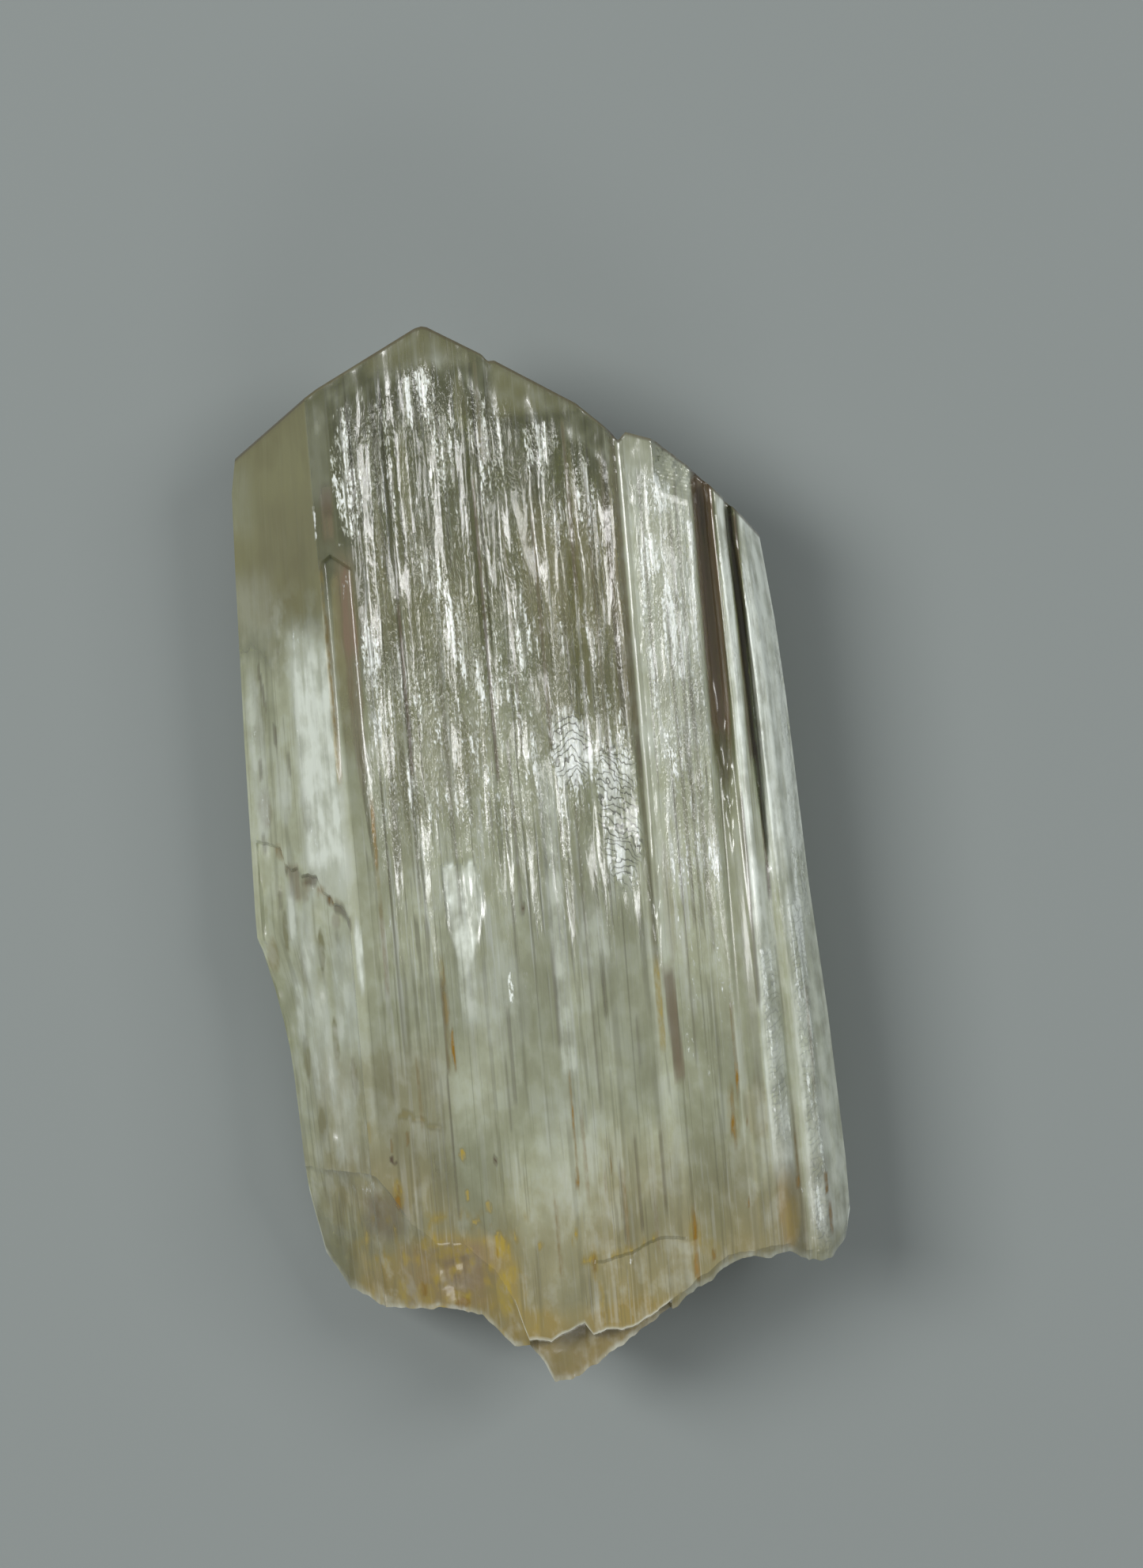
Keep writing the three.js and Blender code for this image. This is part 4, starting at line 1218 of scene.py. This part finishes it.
@dataclass(frozen=True)
class Striae:
    """The fine growth lines of the broad face, which follow its stations and break off here and there.

    Attributes:
        pitch: Spacing of the lines.
        run: Length of an unbroken line.
        depth: Their depth.
        seed: Seed of their order.
        sizes: For each size of line, how much finer and shorter it is, and its share of the depth.
    """

    pitch: float = 0.3 * MM
    run: float = 5.0 * MM
    depth: float = 0.06 * MM
    seed: float = 5.0
    sizes: Rows = ((1.0, 1.0, 0.55), (2.1, 1.7, 0.3), (1.3, 4.5, 0.3))

    def tree(self, material: bpy.types.Material) -> bpy.types.NodeTree:
        """Makes the node tree that cuts the lines into a skin.

        Args:
            material: The skin's material.

        Returns:
            The tree, with Pitch, Run, Depth and Seed as its named inputs.
        """
        tree = bpy.data.node_groups.new("striae", "GeometryNodeTree")
        for title in ("Geometry", "Pitch", "Run", "Depth", "Seed"):
            kind = "NodeSocketGeometry" if title == "Geometry" else "NodeSocketFloat"
            tree.interface.new_socket(name=title, in_out="INPUT", socket_type=kind)
        tree.interface.new_socket(name="Geometry", in_out="OUTPUT", socket_type="NodeSocketGeometry")
        bench = Bench(tree)
        given = bench.node("NodeGroupInput").outputs
        split = bench.node("ShaderNodeSeparateXYZ", {0: bench.node("GeometryNodeInputPosition").outputs[0]})
        across = bench.maths("DIVIDE", bench.times(bench.named("station"), MM), given["Pitch"])
        length = bench.maths("DIVIDE", split.outputs["Y"], given["Run"])
        ridges = []
        for finer, shorter, share in self.sizes:
            place = bench.node("ShaderNodeCombineXYZ", {
                "X": bench.times(across, finer),
                "Y": bench.times(length, shorter),
                "Z": bench.plus(given["Seed"], 3.7 * finer),
            }).outputs[0]
            noise = bench.node("ShaderNodeTexNoise", {"Vector": place, "Scale": 1, "Detail": 1}).outputs[0]
            ridges.append(bench.times(bench.span(bench.from_middle(noise), 0, 0.22), share))
        relief = bench.plus(*ridges)
        cut = bench.times(relief, given["Depth"], bench.named("striated"), bench.named("side"), -1)
        offset = bench.node("ShaderNodeCombineXYZ", {"Z": cut}).outputs[0]
        kept = bench.node("GeometryNodeStoreNamedAttribute", {
            "Geometry": given["Geometry"], "Name": "valley", "Value": relief,
        }, data_type="FLOAT", domain="POINT").outputs[0]
        moved = bench.node("GeometryNodeSetPosition", {"Geometry": kept, "Offset": offset}).outputs[0]
        real = bench.node("GeometryNodeRealizeInstances", {0: moved}).outputs[0]
        dressed = bench.node("GeometryNodeSetMaterial", {"Geometry": real, "Material": material}).outputs[0]
        bench.node("NodeGroupOutput", {0: dressed})
        return tree

    def cut(self, made: bpy.types.Object, material: bpy.types.Material) -> None:
        """Cuts the lines into a skin and leaves it a plain mesh.

        Args:
            made: The skin.
            material: Its material.
        """
        modifier = made.modifiers.new("striae", "NODES")
        modifier.node_group = self.tree(material)
        values = {"Pitch": self.pitch, "Run": self.run, "Depth": self.depth, "Seed": self.seed}
        for item in modifier.node_group.interface.items_tree:
            if item.name in values:
                modifier[item.identifier] = values[item.name]
        plain = bpy.data.meshes.new_from_object(made.evaluated_get(bpy.context.evaluated_depsgraph_get()))
        made.modifiers.remove(modifier)
        made.data = plain


@dataclass(frozen=True)
class GemFinish:
    """Clear to milky spodumene, with painted glints and highlights in its colour.

    Attributes:
        groove: Colour of the thin dark lines.
        absorb: Colour that the substance lets through.
        density: How strongly it absorbs, for each metre.
        coat: Strength, roughness and index of the sheen on the skin.
    """

    body: Colour = (0.38, 0.395, 0.2, 1.0)
    milk: Colour = (0.70, 0.735, 0.53, 1.0)
    olive: Colour = (0.28, 0.27, 0.13, 1.0)
    moss: Colour = (0.19, 0.17, 0.07, 1.0)
    honey: Colour = (0.35, 0.265, 0.085, 1.0)
    # Colour of the painted glints, highlights and bright lines.
    painted_glint: Colour = (0.93, 0.97, 0.93, 1.0)
    pale: Colour = (0.91, 0.97, 0.87, 1.0)
    rose: Colour = (0.28, 0.2, 0.125, 1.0)
    stain: Colour = (0.27, 0.145, 0.006, 1.0)
    yellow: Colour = (0.45, 0.33, 0.05, 1.0)
    dark: Colour = (0.10, 0.07, 0.04, 1.0)
    groove: Colour = (0.15, 0.14, 0.07, 1.0)
    scale_edge: Colour = (0.12, 0.12, 0.09, 1.0)
    ior: float = 1.66
    absorb: Colour = (0.79, 0.83, 0.42, 1.0)
    density: float = 120.0
    coat: tuple[float, float, float] = (0.5, 0.07, 1.6)
    bump_strength: float = 0.8
    bump_depth: float = 0.06 * MM

    def hairlines(self, bench: Bench, place: Socket, often: float, length: float, width: float) -> Socket:
        """Draws thin straight lines along the blade that stop and start.

        Args:
            bench: The material's bench.
            place: Where on the skin, in millimetres.
            often: How often they come, for each millimetre across.
            length: About how long each runs, in millimetres.
            width: Their width, as a share of their spacing.

        Returns:
            1 on a line and 0 between lines.
        """
        level = bench.from_middle(bench.noise(place, (often, 0.012, 0.2), 0))
        runs = bench.span(bench.noise(place, (often, 1 / length, 0.3), 1), 0.42, 0.55)
        return bench.times(bench.span(level, 0.25 * width, width, 1, 0), runs)

    def scaling(self, bench: Bench, x: Socket, y: Socket, place: Socket) -> Socket:
        """Draws overlapping scales in rows that bend at the middle of their patch.

        Args:
            bench: The material's bench.
            x: Places across the blade, in millimetres.
            y: Places along it.
            place: Where on the skin.

        Returns:
            A saw tooth from 0 to 1 for each scale.
        """
        bent = bench.times(bench.maths("PINGPONG", bench.maths("SUBTRACT", x, 1.75), 4.2), 0.7)
        drift = bench.times(bench.noise(place, (1.8, 1.4, 1), 2), 1.5)
        return bench.maths("FRACT", bench.maths("DIVIDE", bench.plus(y, bent, drift), 0.32))

    def make(self) -> bpy.types.Material:
        """Makes the material.

        Returns:
            The material, with its surface and its volume.
        """
        material = bpy.data.materials.new("spodumene")
        material.use_nodes = True
        bench = Bench(material.node_tree)
        bench.tree.nodes.clear()
        times, plus, most, span = bench.times, bench.plus, bench.most, bench.span
        position = bench.node("ShaderNodeTexCoord").outputs["Object"]
        scaled = bench.node("ShaderNodeVectorMath", {0: position, "Scale": 1 / MM}, operation="SCALE")
        x, y, z = bench.node("ShaderNodeSeparateXYZ", {0: scaled.outputs[0]}).outputs
        place = bench.node("ShaderNodeCombineXYZ", {"X": bench.named("station"), "Y": y, "Z": z}).outputs[0]
        sizes = ((1.6, 5, 0.035), (5.5, 2.2, 0.05), (4.3, 2.2, 0.05))
        lines, threads, bright = (self.hairlines(bench, place, *size) for size in sizes)
        scales = (
            (7, 0.22, 0.5, 2), (4.2, 0.4, 1, 2), (9, 2.6, 3, 3), (20, 6.5, 9, 2),
            (0.5, 0.25, 0.4, 3), (8, 1, 1, 1), (1.5, 0.9, 1, 4), (0.8, 0.13, 0.3, 2),
        )
        fibres, runs, flecks, sparkle, cloud, dashes, mottle, bundling = (
            bench.noise(place, scale, detail) for *scale, detail in scales
        )
        milk, olive, stain, dark, painted_glint, pale, honey, rose, scaly, yellow = (
            bench.named(tint.value) for tint in Tint
        )
        striated, valley = bench.named("striated"), bench.named("valley")
        tooth = self.scaling(bench, x, y, place)
        blotches = plus(times(fibres, 0.35), times(mottle, 0.65))
        bundles = span(bundling, 0.38, 0.55, 0.2, 1)
        clean = bench.maths("SUBTRACT", 1, times(olive, 0.9))

        # Each tint, worn by the grain of the substance
        rose = times(rose, span(fibres, 0.3, 0.7, 0.75, 1.1), clamp=True)
        pale = times(pale, span(blotches, 0.38, 0.58, 0.62, 1.08), clamp=True)
        cloudy = times(milk, span(cloud, 0.25, 0.75, 0.8, 1.1), clamp=True)
        stained = times(stain, span(flecks, 0.3, 0.6, 0.5, 1.15), clamp=True)
        yellow = times(yellow, span(flecks, 0.3, 0.65, 0.4, 1.1), clamp=True)

        # Thin dark lines, and painted glints: bright streaks painted into the colour and made opaque
        thin = times(
            most(lines, times(threads, bundles)), span(striated, 0, 0.5, 0.38, 0.9),
            span(scaly, 0, 0.6, 1, 0.1), span(clean, 0, 1, 0.3, 1),
        )
        glint = plus(times(runs, 1.1), times(flecks, 0.9), times(sparkle, 0.75))
        glint = bench.maths("SUBTRACT", bench.maths("SUBTRACT", glint, 0.12), times(valley, 0.2))
        glint = plus(glint, times(painted_glint, 0.55), times(scaly, 0.25))
        unlined = bench.maths("SUBTRACT", 1, times(thin, 0.8))
        shine = times(span(glint, 1.54, 1.78), span(painted_glint, 0, 0.25), unlined, clamp=True)
        shine = times(shine, span(fibres, 0.4, 0.52, 0.3, 1))
        scaled_painted_glint = times(painted_glint, span(times(scaly, runs), 0.3, 0.6, 0.2, 1.1))
        shine = most(shine, times(scaled_painted_glint, scaly), clamp=True)

        # The colour, coat by coat
        fibrous = times(clean, bundles, span(striated, 0, 0.35, 0.3, 1))
        shade = bench.coats(self.olive, (span(cloud, 0.4, 0.6, 0.55, 0), self.moss))
        colour = bench.coats(
            self.body,
            (cloudy, self.milk),
            (olive, shade),
            (honey, self.honey),
            (span(mottle, 0.35, 0.55, 0.26, 0), self.olive),
            (times(span(mottle, 0.5, 0.66, 0, 0.3), cloudy), self.pale),
            # Painted highlights: bright hairlines and short bright dashes.
            (times(span(bright, 0, 1, 0, 0.5), fibrous), self.painted_glint),
            (times(span(dashes, 0.62, 0.67, 0, 0.2), fibrous), self.painted_glint),
            (times(span(dashes, 0.31, 0.36, 0.2, 0), fibrous), self.olive),
            (rose, self.rose),
            (times(thin, 0.8), self.groove),
            # The painted glints.
            (times(shine, span(sparkle, 0.36, 0.58, 0.6, 1)), self.painted_glint),
            (times(span(tooth, 0.1, 0.3, 1, 0), scaly, 0.85), self.scale_edge),
            (pale, self.pale),
            (yellow, self.yellow),
            (stained, self.stain),
            (dark, self.dark),
        )
        opaque = most(
            times(cloudy, 0.5), shine, times(most(stained, dark), 0.9), times(most(olive, rose), 0.6),
            times(most(honey, yellow), 0.8), times(pale, 0.95),
        )

        # The finest relief
        grain = plus(times(runs, 0.8), times(flecks, 0.6), times(sparkle, times(painted_glint, 0.9)))
        grain = times(grain, span(striated, 0, 1, 0.15, 1))
        bump = bench.node("ShaderNodeBump", {
            "Strength": self.bump_strength, "Distance": self.bump_depth,
            "Height": plus(grain, times(tooth, scaly, 1.3)),
        })
        shader = bench.node("ShaderNodeBsdfPrincipled", {
            "Base Color": colour, "Roughness": span(striated, 0.1, 0.9, 0.24, 0.18), "IOR": self.ior,
            "Transmission Weight": span(opaque, 0, 1, 0.8, 0), "Normal": bump.outputs[0],
            "Coat Weight": self.coat[0], "Coat Roughness": self.coat[1], "Coat IOR": self.coat[2],
        })
        volume = bench.node("ShaderNodeVolumeAbsorption", {"Color": self.absorb, "Density": self.density})
        bench.node("ShaderNodeOutputMaterial", {"Surface": shader.outputs[0], "Volume": volume.outputs[0]})
        return material


# ---- The studio ----


@dataclass(frozen=True)
class Lamp:
    """A soft rectangular lamp.

    Attributes:
        name: Its name.
        towards: Direction from the crystal to the lamp.
        distance: Its distance from the crystal.
        size: Its width and height.
        radiance: How bright its face is.
    """

    name: str
    towards: tuple[float, float, float]
    distance: float
    size: tuple[float, float]
    radiance: float

    def place(self, target: Vector) -> None:
        """Adds the lamp, turned to a target.

        Args:
            target: Where it aims.
        """
        data = bpy.data.lights.new(self.name, "AREA")
        data.shape = "RECTANGLE"
        data.size, data.size_y = self.size
        data.energy = self.radiance * self.size[0] * self.size[1] * np.pi
        lamp = bpy.data.objects.new(self.name, data)
        direction = Vector(self.towards).normalized()
        lamp.location = target + direction * self.distance
        lamp.rotation_euler = direction.to_track_quat("Z", "Y").to_euler()
        bpy.context.scene.collection.objects.link(lamp)


@dataclass(frozen=True)
class Studio:
    """The floor, the lights and the camera, in metres, but centre, height and sensor in millimetres."""

    distance: float = 0.22
    centre: tuple[float, float] = (1.63, 2.45)
    lean: float = 4.9
    height: float = 58.5
    sensor: float = 36.0
    target: float = 0.004
    half_floor: float = 1.2
    under: float = 0.00005
    near: float = 0.01
    floor_colour: Colour = (0.262, 0.288, 0.279, 1.0)
    floor_roughness: float = 0.9
    sky: Colour = (0.9, 0.95, 1.0, 1.0)
    sky_strength: float = 0.22
    lamps: tuple[Lamp, ...] = (
        Lamp("window", (-0.75, 0.3, 1.0), 0.5, (0.18, 0.26), 11.0),
        Lamp("fill", (0.85, 0.3, 1.0), 0.5, (0.16, 0.22), 6.8),
        Lamp("low", (0.1, -1.0, 0.75), 0.5, (0.3, 0.12), 2.5),
    )

    def floor(self) -> None:
        """Makes the plain pale floor just under the crystal."""
        mesh = bpy.data.meshes.new("floor")
        half = self.half_floor
        corners = ((-half, -half), (half, -half), (half, half), (-half, half))
        mesh.from_pydata([(x, y, -self.under) for x, y in corners], [], [(0, 1, 2, 3)])
        material = bpy.data.materials.new("floor")
        material.use_nodes = True
        shader = material.node_tree.nodes["Principled BSDF"]
        shader.inputs["Base Color"].default_value = self.floor_colour
        shader.inputs["Roughness"].default_value = self.floor_roughness
        mesh.materials.append(material)
        made = bpy.data.objects.new("floor", mesh)
        bpy.context.scene.collection.objects.link(made)

    def world(self) -> None:
        """Lights everything evenly and dimly."""
        world = bpy.data.worlds.new("studio")
        world.use_nodes = True
        background = world.node_tree.nodes["Background"]
        background.inputs["Color"].default_value = self.sky
        background.inputs["Strength"].default_value = self.sky_strength
        bpy.context.scene.world = world

    def camera(self, top: float) -> None:
        """Looks straight down on the broad face.

        Args:
            top: Height of the broad face, in metres.
        """
        data = bpy.data.cameras.new("camera")
        data.sensor_fit = "AUTO"
        data.sensor_width = self.sensor
        data.lens = self.sensor * self.distance / (self.height * MM)
        data.clip_start = self.near
        camera = bpy.data.objects.new("camera", data)
        turn = np.radians(-self.lean)
        camera.matrix_world = Matrix((
            (np.cos(turn), -np.sin(turn), 0, self.centre[0] * MM),
            (np.sin(turn), np.cos(turn), 0, self.centre[1] * MM),
            (0, 0, 1, self.distance + top),
            (0, 0, 0, 1),
        ))
        bpy.context.scene.collection.objects.link(camera)
        bpy.context.scene.camera = camera

    def build(self, top: float) -> None:
        """Sets up the whole studio.

        Args:
            top: Height of the crystal, in metres.
        """
        self.floor()
        self.world()
        self.camera(top)
        for lamp in self.lamps:
            lamp.place(Vector((0, 0, self.target)))
        bpy.context.scene.view_settings.view_transform = "Standard"


# ---- Putting it together ----


def main() -> None:
    """Builds the crystal and the studio, in order."""
    blade = Blade()
    skin = Skin(blade).build("crystal_skin")
    Tints().paint(skin, blade)
    Striae().cut(skin, GemFinish().make())
    skin.data.polygons.foreach_set("use_smooth", [True] * len(skin.data.polygons))
    skin.data.set_sharp_from_angle(angle=np.radians(SHARP_ANGLE))
    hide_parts("crystal")
    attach(skin, "root")
    log.info("crystal_skin: %d faces", len(skin.data.polygons))
    Studio().build(blade.thickness * MM)


if __name__ == "__main__":
    logging.basicConfig(level=logging.INFO)
    main()
